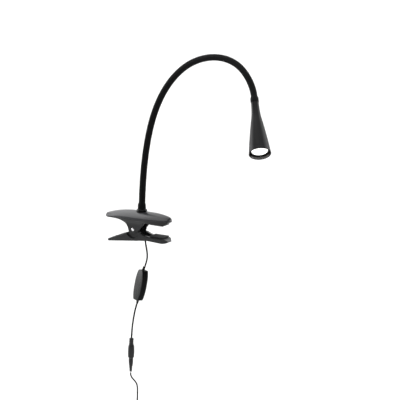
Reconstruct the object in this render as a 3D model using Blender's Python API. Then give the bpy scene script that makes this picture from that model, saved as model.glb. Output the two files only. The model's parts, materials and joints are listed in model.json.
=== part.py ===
"""Clip-on reading lamp: a spring clip, a gooseneck arm, a trumpet-shaped LED head, and a low-voltage
lead with an in-line switch, a plug and its adapter.

Lengths below are in millimetres and are scaled to metres where a mesh is made.
Frame: +Z up, +X from the clip's handles to its jaw tip. The origin is the centre of the upper jaw
pad's face, on top of the 20 mm board that the clip holds.
"""

import math

import bmesh
import bpy
import numpy as np
from mathutils import Matrix, Vector

MM = 0.001
GAP = 0.3  # clearance between pieces that touch

# Clip
BOARD = 20.0  # thickness between the jaws
PIVOT = Vector((-48.0, 0.0, -12.5))
COVER_TAIL = -112.7  # handle end of the cover
COVER_LENGTH = 137.5
COVER_HALF_WIDTH = 21.0
COVER_RIM = 2.6  # height of the cover's edge
COVER_TOP = 20.7  # highest point of the cover's ridge line over the board
COVER_EDGE_HEIGHT = 10.5  # top of the edge over the board
COVER_SKIN = 3.0  # wall left round the hollows under the cover
NECK_HALF_WIDTH = 13.0
EAR_INNER = 10.1  # half the space between the two ears
LEVER_INNER = 9.7  # half the lever's width where it runs between the ears
LEVER_WALL = 2.3
EAR_RADIUS = 7.5
PIN_RADIUS = 1.6
PAD_LENGTH = 28.0
PAD_WIDTH = 22.0
PAD_HEIGHT = 2.4

# Arm
ARM_FOOT = Vector((-37.2, 0.0, 24.6))
ARM_RADIUS = 6.0
ARM_ROUTE = [
    (0, 0, 0), (3.2, 0, 60), (11.3, 0, 120), (26.4, 0, 177), (54.3, -1, 230.8), (87.8, -2, 267.2),
    (121.6, -4, 287.9), (158, -7, 298.2), (197, -12, 297.3), (231.2, -21, 282.6), (252.7, -31, 262.3),
    (264, -40, 246.2),
]
BOOT_LENGTH = 10.4
LINKS = 13
LINK_GAP = 2.4

# Head: heights run from the rim of the shade back to the arm
HEAD_AXIS = Vector((-0.452, 0.545, 0.706)).normalized()
SHADE_LENGTH = 106.0
SHADE_WALL = 1.6
SHADE_RADII = [
    (0, 20), (20, 17.6), (45, 14.1), (62, 11.4), (70, 9.9), (78, 8.6), (87, 7.8), (96, 7.2), (106, 7.0),
]
SLEEVE_LENGTH = 12.7
SLEEVE_RADIUS = 7.4
LENS_RADIUS = 14.4
LENS_DEPTH = 6.4

# Lead
CORD = 2.9
ADAPTER_CORD = 2.5
LEAD_EXIT = Vector((-30.0, 0.0, -6.0))
CORD_UPPER_ROUTE = [
    (-30, 0, -12.2), (-30, 0, -22), (-29.8, 0.1, -34), (-27.9, 1.4, -49.8), (-27.1, 1.9, -61.4),
    (-28.7, 0.9, -73.6), (-30.1, -0.4, -79.6),
]
SWITCH_TOP = Vector((-32.6, -1.7, -87.3))
SWITCH_BOTTOM = Vector((-41.6, -7.6, -142.5))
CORD_LOWER_ROUTE = [
    (-43.0, -8.5, -150.6), (-45.1, -9.9, -160), (-47.2, -11.2, -172), (-49.0, -12.4, -186),
    (-50.2, -13.1, -200), (-50.8, -13.5, -212),
]
SOCKET_TOP = Vector((-50.9, -13.6, -212.6))
SOCKET_AXIS = Vector((0.02, 0.013, 1.0)).normalized()
ADAPTER_CORD_ROUTE = [
    (-52.2, -14.4, -276.4), (-51.8, -14.2, -282), (-48.6, -12.1, -288.5), (-44.3, -9.3, -295),
    (-42.2, -7.9, -303), (-42.0, -7.8, -314), (-42.3, -8.0, -326), (-42.5, -8.1, -336.5),
]
HANK_TOP = Vector((-42.5, -8.1, -337.0))
HANK_LENGTH = 50.0
HANK_WIDTH = 22.5
HANK_DEPTH = 17.5
HANK_SHIFT = Vector((0, 7.5, 0))  # the cord enters and leaves the hank on its front layer
HANK_WAIST = 0.8  # how far the tie draws the hank in on each side
ADAPTER_SIZE = (38.0, 26.0, 58.0)
ADAPTER_TOP = Vector((-42.5, -8.1, -416.0))


def clear_scene():
    for thing in list(bpy.data.objects):
        bpy.data.objects.remove(thing, do_unlink=True)


def material(name, colour, roughness, metallic=0.0):
    made = bpy.data.materials.new(name)
    made.use_nodes = True
    shader = made.node_tree.nodes["Principled BSDF"]
    shader.inputs["Base Color"].default_value = (*colour, 1.0)
    shader.inputs["Roughness"].default_value = roughness
    shader.inputs["Metallic"].default_value = metallic
    made.diffuse_color = (*colour, 1.0)
    return made


def world_place(empty):
    """World position of an empty in metres; the empties are never rotated."""
    place = Vector()
    while empty:
        place = place + empty.location
        empty = empty.parent
    return place


def add_empty(name, place_mm, parent=None):
    empty = bpy.data.objects.new(name, None)
    empty.empty_display_size = 0.01
    empty.location = Vector(place_mm) * MM - world_place(parent)
    empty.parent = parent
    bpy.context.scene.collection.objects.link(empty)
    return empty


def add_mesh(name, shape, finish, parent, frame=None):
    """Turns a bmesh in millimetres into an object. frame places it, and is the parent's place if left out."""
    bmesh.ops.remove_doubles(shape, verts=shape.verts, dist=1e-4)
    bmesh.ops.recalc_face_normals(shape, faces=shape.faces)
    at = world_place(parent)
    if frame is None:
        frame = Matrix.Translation(at / MM)
        bmesh.ops.transform(shape, matrix=frame.inverted(), verts=shape.verts)
    bmesh.ops.scale(shape, vec=(MM, MM, MM), verts=shape.verts)
    mesh = bpy.data.meshes.new(name)
    shape.to_mesh(mesh)
    shape.free()
    mesh.shade_smooth()
    mesh.set_sharp_from_angle(angle=math.radians(35))
    mesh.materials.append(finish)
    thing = bpy.data.objects.new(name, mesh)
    world = frame.copy()
    world.translation = frame.translation * MM
    thing.parent = parent
    thing.matrix_basis = Matrix.Translation(-at) @ world
    bpy.context.scene.collection.objects.link(thing)
    return thing


def as_cutter(thing):
    thing.hide_render = True
    thing.display_type = "WIRE"
    return thing


def boolean(thing, other, operation="DIFFERENCE"):
    step = thing.modifiers.new(operation.title(), "BOOLEAN")
    step.operation = operation
    step.object = as_cutter(other)


def grid_shape(rings, closed_ring=True, caps=True):
    """Joins rings of points into one closed surface."""
    shape = bmesh.new()
    rows = [[shape.verts.new(point) for point in ring] for ring in rings]
    count = len(rows[0])
    for row, following in zip(rows, rows[1:]):
        for i in range(count if closed_ring else count - 1):
            j = (i + 1) % count
            shape.faces.new((row[i], row[j], following[j], following[i]))
    if caps:
        shape.faces.new(rows[0])
        shape.faces.new(rows[-1])
    return shape


def prism(outline, low, high, up="Y"):
    """An outline pushed from low to high along one axis; the outline lies in the other two."""
    def point(a, b, c):
        return (a, c, b) if up == "Y" else (a, b, c)

    return grid_shape([[point(a, b, level) for a, b in outline] for level in (low, high)])


def block(low, high):
    outline = [(low[0], low[1]), (high[0], low[1]), (high[0], high[1]), (low[0], high[1])]
    return prism(outline, low[2], high[2], up="Z")


def turned_shape(profile, sides=32):
    """Turns a closed profile of (radius, height) about local Z."""
    rings = []
    for side in range(sides):
        angle = 2 * math.pi * side / sides
        rings.append([(r * math.cos(angle), r * math.sin(angle), z) for r, z in profile])
    rings.append(rings[0])
    shape = grid_shape(rings, closed_ring=True, caps=False)
    bmesh.ops.remove_doubles(shape, verts=shape.verts, dist=1e-4)
    return shape


def axis_frame(place, axis, towards=(0, 1, 0)):
    """A frame at place with local Z along axis."""
    z = Vector(axis).normalized()
    x = Vector(towards).cross(z).normalized()
    y = z.cross(x)
    return Matrix.Translation(Vector(place)) @ Matrix((x, y, z)).transposed().to_4x4()


def smooth_curve(points, start=None, end=None):
    """A function from 0..1 to a place on the cubic spline through points, evenly spaced by length."""
    knots = np.array([list(point) for point in points], float)
    steps = np.linalg.norm(np.diff(knots, axis=0), axis=1)
    at = np.concatenate([[0.0], np.cumsum(steps)])
    count = len(knots)
    system = np.eye(count)
    right = np.zeros((count, 3))
    slope = np.diff(knots, axis=0) / steps[:, None]
    for i in range(1, count - 1):
        system[i, i - 1] = steps[i]
        system[i, i] = 2 * (steps[i - 1] + steps[i])
        system[i, i + 1] = steps[i - 1]
        right[i] = 3 * (steps[i] * slope[i - 1] + steps[i - 1] * slope[i])
    for row, inner, given, chord in ((0, 1, start, slope[0]), (count - 1, count - 2, end, slope[-1])):
        if given is None:
            system[row, row], system[row, inner] = 2.0, 1.0
            right[row] = 3 * chord
        else:
            right[row] = given
    tangents = np.linalg.solve(system, right)

    def at_length(value):
        i = int(np.clip(np.searchsorted(at, value) - 1, 0, count - 2))
        t = (value - at[i]) / steps[i]
        blend = (2 * t**3 - 3 * t**2 + 1, t**3 - 2 * t**2 + t, 3 * t**2 - 2 * t**3, t**3 - t**2)
        ends = (knots[i], tangents[i] * steps[i], knots[i + 1], tangents[i + 1] * steps[i])
        return sum(weight * part for weight, part in zip(blend, ends))

    fine = np.linspace(0.0, at[-1], 600)
    places = np.array([at_length(value) for value in fine])
    run = np.concatenate([[0.0], np.cumsum(np.linalg.norm(np.diff(places, axis=0), axis=1))])

    def place(share):
        value = np.interp(share * run[-1], run, fine)
        return Vector(at_length(value))

    return place, float(run[-1])


def swept_shape(centres, radius, sides=12):
    """A round bar through centres, with flat ends square to it."""
    rings = []
    across = None
    for i, centre in enumerate(centres):
        along = (centres[min(i + 1, len(centres) - 1)] - centres[max(i - 1, 0)]).normalized()
        if across is None:
            across = along.orthogonal()
        across = (across - along * across.dot(along)).normalized()
        other = along.cross(across)
        ring = []
        for side in range(sides):
            angle = 2 * math.pi * side / sides
            ring.append(centre + radius * (math.cos(angle) * across + math.sin(angle) * other))
        rings.append(ring)
    return grid_shape(rings)


def add_tube(name, points, diameter, finish, parent, spacing):
    """A cord as a curve with a round bevel, on a smooth line through its points."""
    place, length = smooth_curve(points)
    count = max(4, round(length / spacing))
    curve = bpy.data.curves.new(name, "CURVE")
    curve.dimensions = "3D"
    curve.bevel_depth = diameter / 2 * MM
    curve.bevel_resolution = 2
    curve.use_fill_caps = True
    spline = curve.splines.new("POLY")
    spline.points.add(count)
    at = world_place(parent)
    for i in range(count + 1):
        spline.points[i].co = (*(place(i / count) * MM - at), 1.0)
    curve.materials.append(finish)
    thing = bpy.data.objects.new(name, curve)
    thing.parent = parent
    bpy.context.scene.collection.objects.link(thing)
    return thing


# ---------------------------------------------------------------- clip

def cover_half_width(x):
    """Plan of the leaf-shaped cover: rounder at the jaw end than at the handle end."""
    u = min(max((x - COVER_TAIL) / COVER_LENGTH, 0.0), 1.0)
    power = 0.46 - 0.06 * u
    return COVER_HALF_WIDTH * (4 * u * (1 - u)) ** power


def cover_edge(x):
    """Height of the cover's top edge, which droops towards the handle end."""
    back = max(0.0, (-55.0 - x) / (-55.0 - COVER_TAIL))
    front = max(0.0, (x + 20.0) / (COVER_TAIL + COVER_LENGTH + 20.0))
    return COVER_EDGE_HEIGHT - 5.0 * back**2.2 + front


def cover_crown(x):
    """Rise of the cover's middle over its edge. The ridge line falls to both tips."""
    back = max(0.0, (-35.0 - x) / (-35.0 - COVER_TAIL))
    front = max(0.0, (x + 12.0) / (COVER_TAIL + COVER_LENGTH + 12.0))
    ridge = COVER_TOP - 12.5 * back**2.4 - 5.0 * front**1.9
    return (ridge - cover_edge(x)) * min(1.0, cover_half_width(x) / 6.0)


def cover_pocket(low_x, high_x):
    """One of the hollows under the cover, between the ribs that hold the screws."""
    rings = []
    for i in range(5):
        x = low_x + (high_x - low_x) * i / 4
        half = cover_half_width(x) - COVER_SKIN
        floor = cover_edge(x) - COVER_RIM
        rise = min(cover_crown(x) + COVER_RIM - COVER_SKIN, 5.0)
        ring = [(x, -half, floor - 2.0), (x, -half, floor)]
        for k in range(1, 8):
            v = -1 + k / 4
            ring.append((x, v * half, floor + rise * (1 - v**2)))
        rings.append(ring + [(x, half, floor), (x, half, floor - 2.0)])
    return grid_shape(rings)


def top_cover(finish, clip):
    stations = 26
    across = 10
    rings = []
    for i in range(stations + 1):
        x = COVER_TAIL + COVER_LENGTH * (1 - math.cos(math.pi * i / stations)) / 2
        half = cover_half_width(x)
        top = []
        for k in range(across + 1):
            v = -1 + 2 * k / across
            crown = cover_crown(x) * (1 - v**2)
            top.append((x, v * half, cover_edge(x) + crown))
        under = [(x, half, cover_edge(x) - COVER_RIM), (x, -half, cover_edge(x) - COVER_RIM)]
        rings.append(top + under)
    thing = add_mesh("top_cover", grid_shape(rings, caps=False), finish, clip)
    seat = turned_shape([(0, 15.0), (10.1, 15.0), (10.1, 40.0), (0, 40.0)])
    boolean(thing, add_mesh("cover_seat_cut", seat, finish, clip, foot_frame(0)))
    stem = turned_shape([(0, -5.0), (3.4, -5.0), (3.4, 40.0), (0, 40.0)], sides=20)
    boolean(thing, add_mesh("cover_stem_cut", stem, finish, clip, foot_frame(0)))
    for number, (low_x, high_x) in enumerate(POCKETS):
        pocket = add_mesh(f"cover_pocket_{number}", cover_pocket(low_x, high_x), finish, clip, Matrix.Identity(4))
        boolean(thing, pocket)
    for number, (x, _) in enumerate(SCREWS):
        low = cover_edge(x) - COVER_RIM
        hole = turned_shape([(0, low - 3), (1.35, low - 3), (1.35, low + 2.6), (0, low + 2.6)], sides=12)
        place = Matrix.Translation((x, 0, 0))
        boolean(thing, add_mesh(f"cover_screw_cut_{number}", hole, finish, clip, place))
    return thing


SCREWS = [(-72.0, "cover_screw_back"), (2.0, "cover_screw_front")]
POCKETS = [(-103.0, -77.0), (-67.0, -3.0), (7.0, 17.0)]


def foot_frame(height):
    return Matrix.Translation((ARM_FOOT.x, 0, height))


BODY_UNDERSIDE = [
    (-110.0, -3.5), (-105, -4.2), (-95, -4.6), (-85, -5.3), (-78, -6.4), (-72, -8.3),
    (-68, -10.4), (-65, -12.6), (-62.5, -15.1), (-60.5, -18.1), (-59, -21.1), (-57.8, -25.1),
    (-56.6, -29.5),
]  # (x, drop below the cover's top edge) from the handle end down the hollow curve to the ears
EAR_FRONT = [(-40.2, -30.1), (-36.5, -24.7), (-31.0, -18.5), (-27.5, -14.0), (-25.0, -9.5), (-22.5, -7.5)]
JAW_UNDERSIDE = 2.7  # height of the seat for the upper pad


def ear_bottom(x):
    """Underside of the round ears below the pivot."""
    offset = min(abs(x - PIVOT.x), EAR_RADIUS)
    return PIVOT.z - math.sqrt(EAR_RADIUS**2 - offset**2)


def body_stations():
    """(x, underside height) of the body from the handle end to the jaw tip."""
    found = [(x, cover_edge(x) + drop) for x, drop in BODY_UNDERSIDE]
    for i in range(1, 8):
        x = PIVOT.x - EAR_RADIUS * math.cos(math.pi * i / 8)
        found.append((x, ear_bottom(x)))
    found += [(x, COVER_EDGE_HEIGHT + drop) for x, drop in EAR_FRONT]
    found += [(x, JAW_UNDERSIDE) for x in (-19.0, -8.0, 4.0, 14.5)]
    found += [(18.0, 3.8), (21.0, 5.4), (22.6, 6.8)]
    return found


def body_flare(x):
    """How late the body widens towards the cover: late at the neck, early along the jaw."""
    return float(np.interp(x, (-26.0, -16.0), (1.8, 0.7)))


def upper_jaw_body(finish, clip):
    levels = 7
    rings = []
    for x, low in body_stations():
        high = cover_edge(x) - COVER_RIM - GAP
        top_half = max(cover_half_width(x) - 0.5, 1.5)
        ring = []
        for side in (1, -1):
            for k in range(levels + 1):
                share = k / levels if side > 0 else 1 - k / levels
                z = low + (high - low) * share
                flare = min(max((z + 6.0) / (high + 6.0), 0.0), 1.0)
                neck = min(NECK_HALF_WIDTH, top_half)
                ring.append((x, side * (neck + (top_half - neck) * flare**body_flare(x)), z))
        rings.append(ring)
    thing = add_mesh("upper_jaw_body", grid_shape(rings), finish, clip)
    slot = block((-90, -EAR_INNER, -40), (-15, EAR_INNER, 1.0))
    boolean(thing, add_mesh("ear_slot_cut", slot, finish, clip, Matrix.Identity(4)))
    pin_hole = turned_shape([(0, -30), (PIN_RADIUS + GAP, -30), (PIN_RADIUS + GAP, 30), (0, 30)], sides=20)
    frame = axis_frame(PIVOT, (0, 1, 0), (1, 0, 0))
    boolean(thing, add_mesh("ear_pin_cut", pin_hole, finish, clip, frame))
    stem = turned_shape([(0, -5), (3.4, -5), (3.4, 40), (0, 40)], sides=20)
    boolean(thing, add_mesh("body_stem_cut", stem, finish, clip, foot_frame(0)))
    for number, (x, _) in enumerate(SCREWS):
        head_top = screw_seat(x) + GAP
        profile = [(0, -20), (2.6, -20), (2.6, head_top), (1.5, head_top), (1.5, 30), (0, 30)]
        cutter = add_mesh(f"body_screw_cut_{number}", turned_shape(profile, sides=16), finish, clip,
                          Matrix.Translation((x, 0, 0)))
        boolean(thing, cutter)
    return thing


def screw_seat(x):
    """Height of the upper face of a cover screw's head."""
    return cover_edge(x) - COVER_RIM - 2.6


def cover_screws(finish, clip):
    for x, name in SCREWS:
        seat = screw_seat(x)
        tip = cover_edge(x) - COVER_RIM + 2.2
        profile = [(0.7, seat - 1.8), (2.2, seat - 1.8), (2.2, seat), (1.05, seat), (1.05, tip), (0, tip),
                   (0, seat - 1.0), (0.7, seat - 1.0)]
        add_mesh(name, turned_shape(profile, sides=14), finish, clip, Matrix.Translation((x, 0, 0)))


LEVER_TOP = [
    (-53.5, -23.2), (-36, -17.0), (-23, -12.7), (-12, -6.8), (-9, -3.5), (-7.8, 1.0), (-6.5, 4.0),
    (-3.5, 6.4), (1.0, 6.9), (5.0, 5.6), (9.0, 1.0), (15.0, -5.0), (22.0, -8.6), (31.0, -10.2), (63.0, -10.2),
    (68.0, -12.4), (70.5, -15.2),
]  # side outline from the handle end over the pivot to the jaw tip, about the pivot
LEVER_FLOOR_SLOPE = 0.125


def lever_floor(x):
    return -20.9 + LEVER_FLOOR_SLOPE * x


def lower_lever(finish, lever):
    at_pivot = Matrix.Translation(PIVOT)
    bottom = [(70.5, -16.6), (66.0, -18.4), (58.0, -18.8), (30.0, -17.4), (-20.0, lever_floor(-20)),
              (-52.6, lever_floor(-52.6)), (-53.5, lever_floor(-53.5) + 0.8)]
    thing = add_mesh("lower_lever", prism(LEVER_TOP + bottom, -NECK_HALF_WIDTH, NECK_HALF_WIDTH), finish,
                     lever, at_pivot)
    for side in (1, -1):
        waist = turned_shape([(0, 0), (16.5, 0), (16.5, 10), (0, 10)], sides=36)
        frame = axis_frame(PIVOT + Vector((0, side * LEVER_INNER, 0)), (0, side, 0), (1, 0, 0))
        boolean(thing, add_mesh(f"waist_cut_{side}", waist, finish, lever, frame))
        corner = [(58, side * 30), (58, side * NECK_HALF_WIDTH), (64, side * 11.6), (68, side * 8.6),
                  (70.2, side * 5.0), (80, side * 5.0), (80, side * 30)]
        cutter = add_mesh(f"tip_cut_{side}", prism(corner, -30, 10, up="Z"), finish, lever, at_pivot)
        boolean(thing, cutter)
    wide = NECK_HALF_WIDTH - LEVER_WALL
    inner = LEVER_INNER - LEVER_WALL
    rings = []
    for x, half in ((-51.0, wide), (-20.0, wide), (-18.0, inner), (32.5, inner)):
        low = lever_floor(x) + LEVER_WALL
        rings.append([(x, -half, low), (x, half, low), (x, half, 30), (x, -half, 30)])
    boolean(thing, add_mesh("channel_cut", grid_shape(rings), finish, lever, at_pivot))
    slot = [(9.0, -3.6), (32.0, -3.6), (32.0, 3.6), (9.0, 3.6)]
    boolean(thing, add_mesh("cord_slot_cut", prism(slot, -40, -10, up="Z"), finish, lever, at_pivot))
    radius = PIN_RADIUS + GAP
    pin_hole = turned_shape([(0, -30), (radius, -30), (radius, 30), (0, 30)], sides=20)
    frame = axis_frame(PIVOT, (0, 1, 0), (1, 0, 0))
    boolean(thing, add_mesh("lever_pin_cut", pin_hole, finish, lever, frame))
    for number, x in enumerate((-33.5, -29.5, -25.5)):
        low = lever_floor(x) + LEVER_WALL - 0.5
        rib = block((x - 0.7, -wide - 0.5, low), (x + 0.7, wide + 0.5, -15.6 + 0.33 * (x + 36)))
        boolean(thing, add_mesh(f"handle_rib_{number}", rib, finish, lever, at_pivot), "UNION")
    return thing


def pivot_pin(finish, clip):
    reach = NECK_HALF_WIDTH + GAP
    head = 1.0
    profile = [
        (0, -reach - head), (1.9, -reach - head), (2.8, -reach - 0.4), (2.8, -reach), (PIN_RADIUS, -reach),
        (PIN_RADIUS, reach), (2.8, reach), (2.8, reach + 0.4), (1.9, reach + head), (0, reach + head),
    ]
    add_mesh("pivot_pin", turned_shape(profile, sides=20), finish, clip, axis_frame(PIVOT, (0, 1, 0), (1, 0, 0)))


def torsion_spring(finish, clip):
    """Coil round the pin with one leg up to the body and one down to the lever's floor."""
    wire = 0.7
    coil = 4.4
    turns = 4.6
    half = 5.2
    steps = 56
    centres = [Vector((-15.0, -half, 12.3))]
    for i in range(steps + 1):
        share = i / steps
        angle = math.radians(128) - share * turns * 2 * math.pi
        centres.append(Vector((coil * math.cos(angle), half * (2 * share - 1), coil * math.sin(angle))))
    centres.append(Vector((-22.0, half, lever_floor(-22.0) + LEVER_WALL + wire + 0.5)))
    add_mesh("torsion_spring", swept_shape(centres, wire, sides=6), finish, clip, Matrix.Translation(PIVOT))


def jaw_pads(finish, clip, lever):
    ends = (-PAD_LENGTH / 2, PAD_LENGTH / 2)
    half = PAD_WIDTH / 2
    add_mesh("upper_jaw_pad", block((ends[0], -half, 0), (ends[1], half, PAD_HEIGHT)), finish, clip,
             Matrix.Identity(4))
    low = -BOARD - PAD_HEIGHT
    half = half - 1.0
    add_mesh("lower_jaw_pad", block((ends[0], -half, low), (ends[1], half, -BOARD)), finish, lever,
             Matrix.Identity(4))


def arm_foot_pieces(looks, clip):
    """Collar, rubber boot, threaded fitting and its nut, all on the arm's axis."""
    collar = [
        (3.4, 15.3), (9.2, 15.3), (9.75, 16.2), (9.75, 21.2), (9.3, 22.8), (8.2, 24.0), (6.9, 24.6), (3.4, 24.6),
    ]
    add_mesh("base_collar", turned_shape(collar), looks["gloss"], clip, foot_frame(0))
    top = ARM_FOOT.z + BOOT_LENGTH - 0.6
    boot = [(3.4, 24.9), (7.3, 24.9), (7.3, 31.5), (6.9, top - 0.8), (6.4, top), (3.4, top)]
    add_mesh("arm_base_boot", turned_shape(boot, sides=28), looks["rubber"], clip, foot_frame(0))
    fitting = [(1.5, -3.4), (3.0, -3.4), (3.0, top - 0.5), (1.5, top - 0.5)]
    add_mesh("arm_base_fitting", turned_shape(fitting, sides=20), looks["steel"], clip, foot_frame(0))
    nut = turned_shape([(3.4, -2.6), (4.9, -2.6), (4.9, 0.7), (3.4, 0.7)], sides=12)
    add_mesh("arm_lock_nut", nut, looks["steel"], clip, foot_frame(0))


def lead_outlet(looks, clip):
    gland = [(1.75, -12.0), (2.15, -12.0), (2.6, -3.0), (2.6, 0.7), (1.75, 0.7)]
    place = Matrix.Translation((LEAD_EXIT.x + 0.5, 0, 0))
    add_mesh("cord_gland", turned_shape(gland, sides=20), looks["rubber"], clip, place)
    start = Vector((ARM_FOOT.x, 0, -4.2))
    points = [start, (-36.8, 0.2, -9.0), (-35.0, 0.8, -13.4), (-32.4, 0.9, -15.4)]
    add_tube("base_lead", points, 2.0, looks["rubber"], clip, 3.0)


# ---------------------------------------------------------------- arm

def head_rim():
    return ARM_FOOT + Vector(ARM_ROUTE[-1]) - HEAD_AXIS * (SHADE_LENGTH + GAP + SLEEVE_LENGTH)


def arm_curve():
    points = [ARM_FOOT + Vector(point) for point in ARM_ROUTE]
    return smooth_curve(points, start=(0.03, 0, 1), end=-HEAD_AXIS)


def joint_share(number, length):
    """Share of the arm's length at which joint number lies, counted from the boot."""
    return (BOOT_LENGTH + number * (length - BOOT_LENGTH) / LINKS) / length


def arm_links(finish, clip):
    """The gooseneck as a chain of curved links, each hung from the joint below it."""
    place, length = arm_curve()
    rings = 6
    parent = clip
    for number in range(LINKS):
        low = joint_share(number, length)
        high = joint_share(number + 1, length)
        parent = add_empty(f"arm_joint_{number + 1:02d}", place(low), parent)
        trim = LINK_GAP / 2 / length
        shares = np.linspace(low + trim, high - trim, rings)
        centres = [place(share) for share in shares]
        shape = swept_shape(centres, ARM_RADIUS)
        add_mesh(f"arm_link_{number + 1:02d}", shape, finish, parent, Matrix.Identity(4))
    return add_empty(f"arm_joint_{LINKS + 1:02d}", place(1.0), parent)


# ---------------------------------------------------------------- head

def shade_radius(height):
    heights = [pair[0] for pair in SHADE_RADII]
    radii = [pair[1] for pair in SHADE_RADII]
    return float(np.interp(height, heights, radii))


def head_pieces(looks, head):
    frame = axis_frame(head_rim(), HEAD_AXIS)
    neck = SHADE_LENGTH
    outer = [(radius, height) for height, radius in SHADE_RADII]
    inner = [(radius - SHADE_WALL, height) for height, radius in SHADE_RADII[:-2]]
    hole = 2.2
    inner[0] = (SHADE_RADII[0][1] - 1.2, 0)
    profile = outer + [(hole, neck), (hole, 93.0), (4.6, 90.0)] + inner[::-1]
    add_mesh("shade", turned_shape(profile, sides=36), looks["satin"], head, frame)

    back = neck + GAP
    sleeve = [(2.2, back), (7.0, back), (SLEEVE_RADIUS, back + 1), (SLEEVE_RADIUS, back + 9.5), (6.8, back + 11.2),
              (2.2, back + 11.2)]
    add_mesh("arm_end_sleeve", turned_shape(sleeve, sides=28), looks["rubber"], head, frame)

    ring = [(14.7, 5.4), (17.0, 5.4), (16.9, 6.4), (16.9, 9.6), (14.7, 9.6)]
    add_mesh("bezel_ring", turned_shape(ring, sides=36), looks["gloss"], head, frame)
    lens = [(0, LENS_DEPTH), (LENS_RADIUS - 0.4, LENS_DEPTH), (LENS_RADIUS, LENS_DEPTH + 0.4),
            (LENS_RADIUS, LENS_DEPTH + 2), (0, LENS_DEPTH + 2)]
    add_mesh("lens", turned_shape(lens, sides=36), looks["lens"], head, frame)
    cup = [(14.0, 10.0), (14.9, 10.0), (13.4, 16.0), (10.6, 22.0), (6.0, 26.6), (4.6, 26.6), (9.6, 21.4),
           (12.5, 15.6)]
    add_mesh("reflector", turned_shape(cup, sides=28), looks["chrome"], head, frame)
    board = [(0, 27.0), (9.5, 27.0), (9.5, 28.4), (0, 28.4)]
    add_mesh("led_board", turned_shape(board, sides=24), looks["board"], head, frame)
    chip = block((-2.6, -2.6, 25.3), (2.6, 2.6, 26.7))
    add_mesh("led_chip", chip, looks["lens"], head, frame)
    sink = [(2.0, 28.7), (10.2, 28.7), (10.2, 32.7), (5.0, 32.7)]
    for fin in range(4):
        low = 36.0 + 5.5 * fin
        fin_radius = shade_radius(low + 2) - SHADE_WALL - 1.6
        sink += [(5.0, low), (fin_radius, low), (fin_radius, low + 2), (5.0, low + 2)]
    sink += [(5.0, 56.0), (2.0, 56.0)]
    add_mesh("heat_sink", turned_shape(sink, sides=24), looks["aluminium"], head, frame)
    wires = turned_shape([(0, 57.0), (1.3, 57.0), (1.3, back + 10), (0, back + 10)], sides=10)
    add_mesh("head_lead", wires, looks["rubber"], head, frame)


# ---------------------------------------------------------------- lead, switch and plug

def relief_profile(cord_radius, thick, thin, low, high):
    """A tapered sleeve round a cord, from thick at low to thin at high."""
    bore = cord_radius + GAP
    return [(bore, low), (thick, low), (thick, low + 0.25 * (high - low)), (thin, high), (bore, high)]


def switch_frame():
    """Local Z up the switch, local Y square to its broad faces."""
    axis = (SWITCH_TOP - SWITCH_BOTTOM).normalized()
    z = axis
    outward = Vector((0.293, 0.957, 0.0))
    y = (outward - z * outward.dot(z)).normalized()
    x = y.cross(z)
    middle = (SWITCH_TOP + SWITCH_BOTTOM) / 2
    return Matrix.Translation(middle) @ Matrix((x, y, z)).transposed().to_4x4()


SWITCH_HALF_WIDTH = 10.0
SWITCH_HALF_THICKNESS = 6.6


def switch_outline(inset=0.0):
    """Bulged outline of the broad face, with small flat ends for the cord."""
    half_length = (SWITCH_TOP - SWITCH_BOTTOM).length / 2 - inset
    count = 9
    right = []
    for i in range(count + 1):
        u = -1 + 2 * i / count
        right.append(((SWITCH_HALF_WIDTH - inset) * (1 - 0.5 * abs(u) ** 2.6), u * half_length))
    return right + [(-x, z) for x, z in reversed(right)]


def switch_pieces(looks, clip, button_body):
    frame = switch_frame()
    half_length = (SWITCH_TOP - SWITCH_BOTTOM).length / 2
    wall = 1.6
    for name, side in (("switch_front_shell", -1), ("switch_back_shell", 1)):
        outline = switch_outline()
        low, high = sorted((side * 0.15, side * SWITCH_HALF_THICKNESS))
        shell = add_mesh(name, prism(outline, low, high), looks["matte"], clip, frame)
        low, high = sorted((-side, side * (SWITCH_HALF_THICKNESS - wall)))
        inside = add_mesh(f"{name}_cut", prism(switch_outline(wall), low, high), looks["matte"], clip, frame)
        boolean(shell, inside)
        bore = turned_shape([(0, -40), (CORD / 2 + GAP, -40), (CORD / 2 + GAP, 40), (0, 40)], sides=16)
        boolean(shell, add_mesh(f"{name}_bore", bore, looks["matte"], clip, frame))
        if side > 0:
            opening = block((-4.3, 3.6, -7.3), (4.3, 9, 7.3))
            boolean(shell, add_mesh("button_opening", opening, looks["matte"], clip, frame))
    button = block((-4.0, 3.8, -7.0), (4.0, 8.2, 7.0))
    add_mesh("switch_button", button, looks["matte"], button_body, frame)
    contact = block((-2.5, -0.6, -9), (2.5, 0.6, 9))
    add_mesh("switch_contact", contact, looks["steel"], clip, frame)
    for name, side in (("switch_relief_top", 1), ("switch_relief_bottom", -1)):
        profile = relief_profile(CORD / 2, 2.6, 2.0, half_length + GAP, half_length + 6.5)
        end = frame @ Matrix.Rotation(0 if side > 0 else math.pi, 4, "X")
        add_mesh(name, turned_shape(profile, sides=16), looks["rubber"], clip, end)


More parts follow.
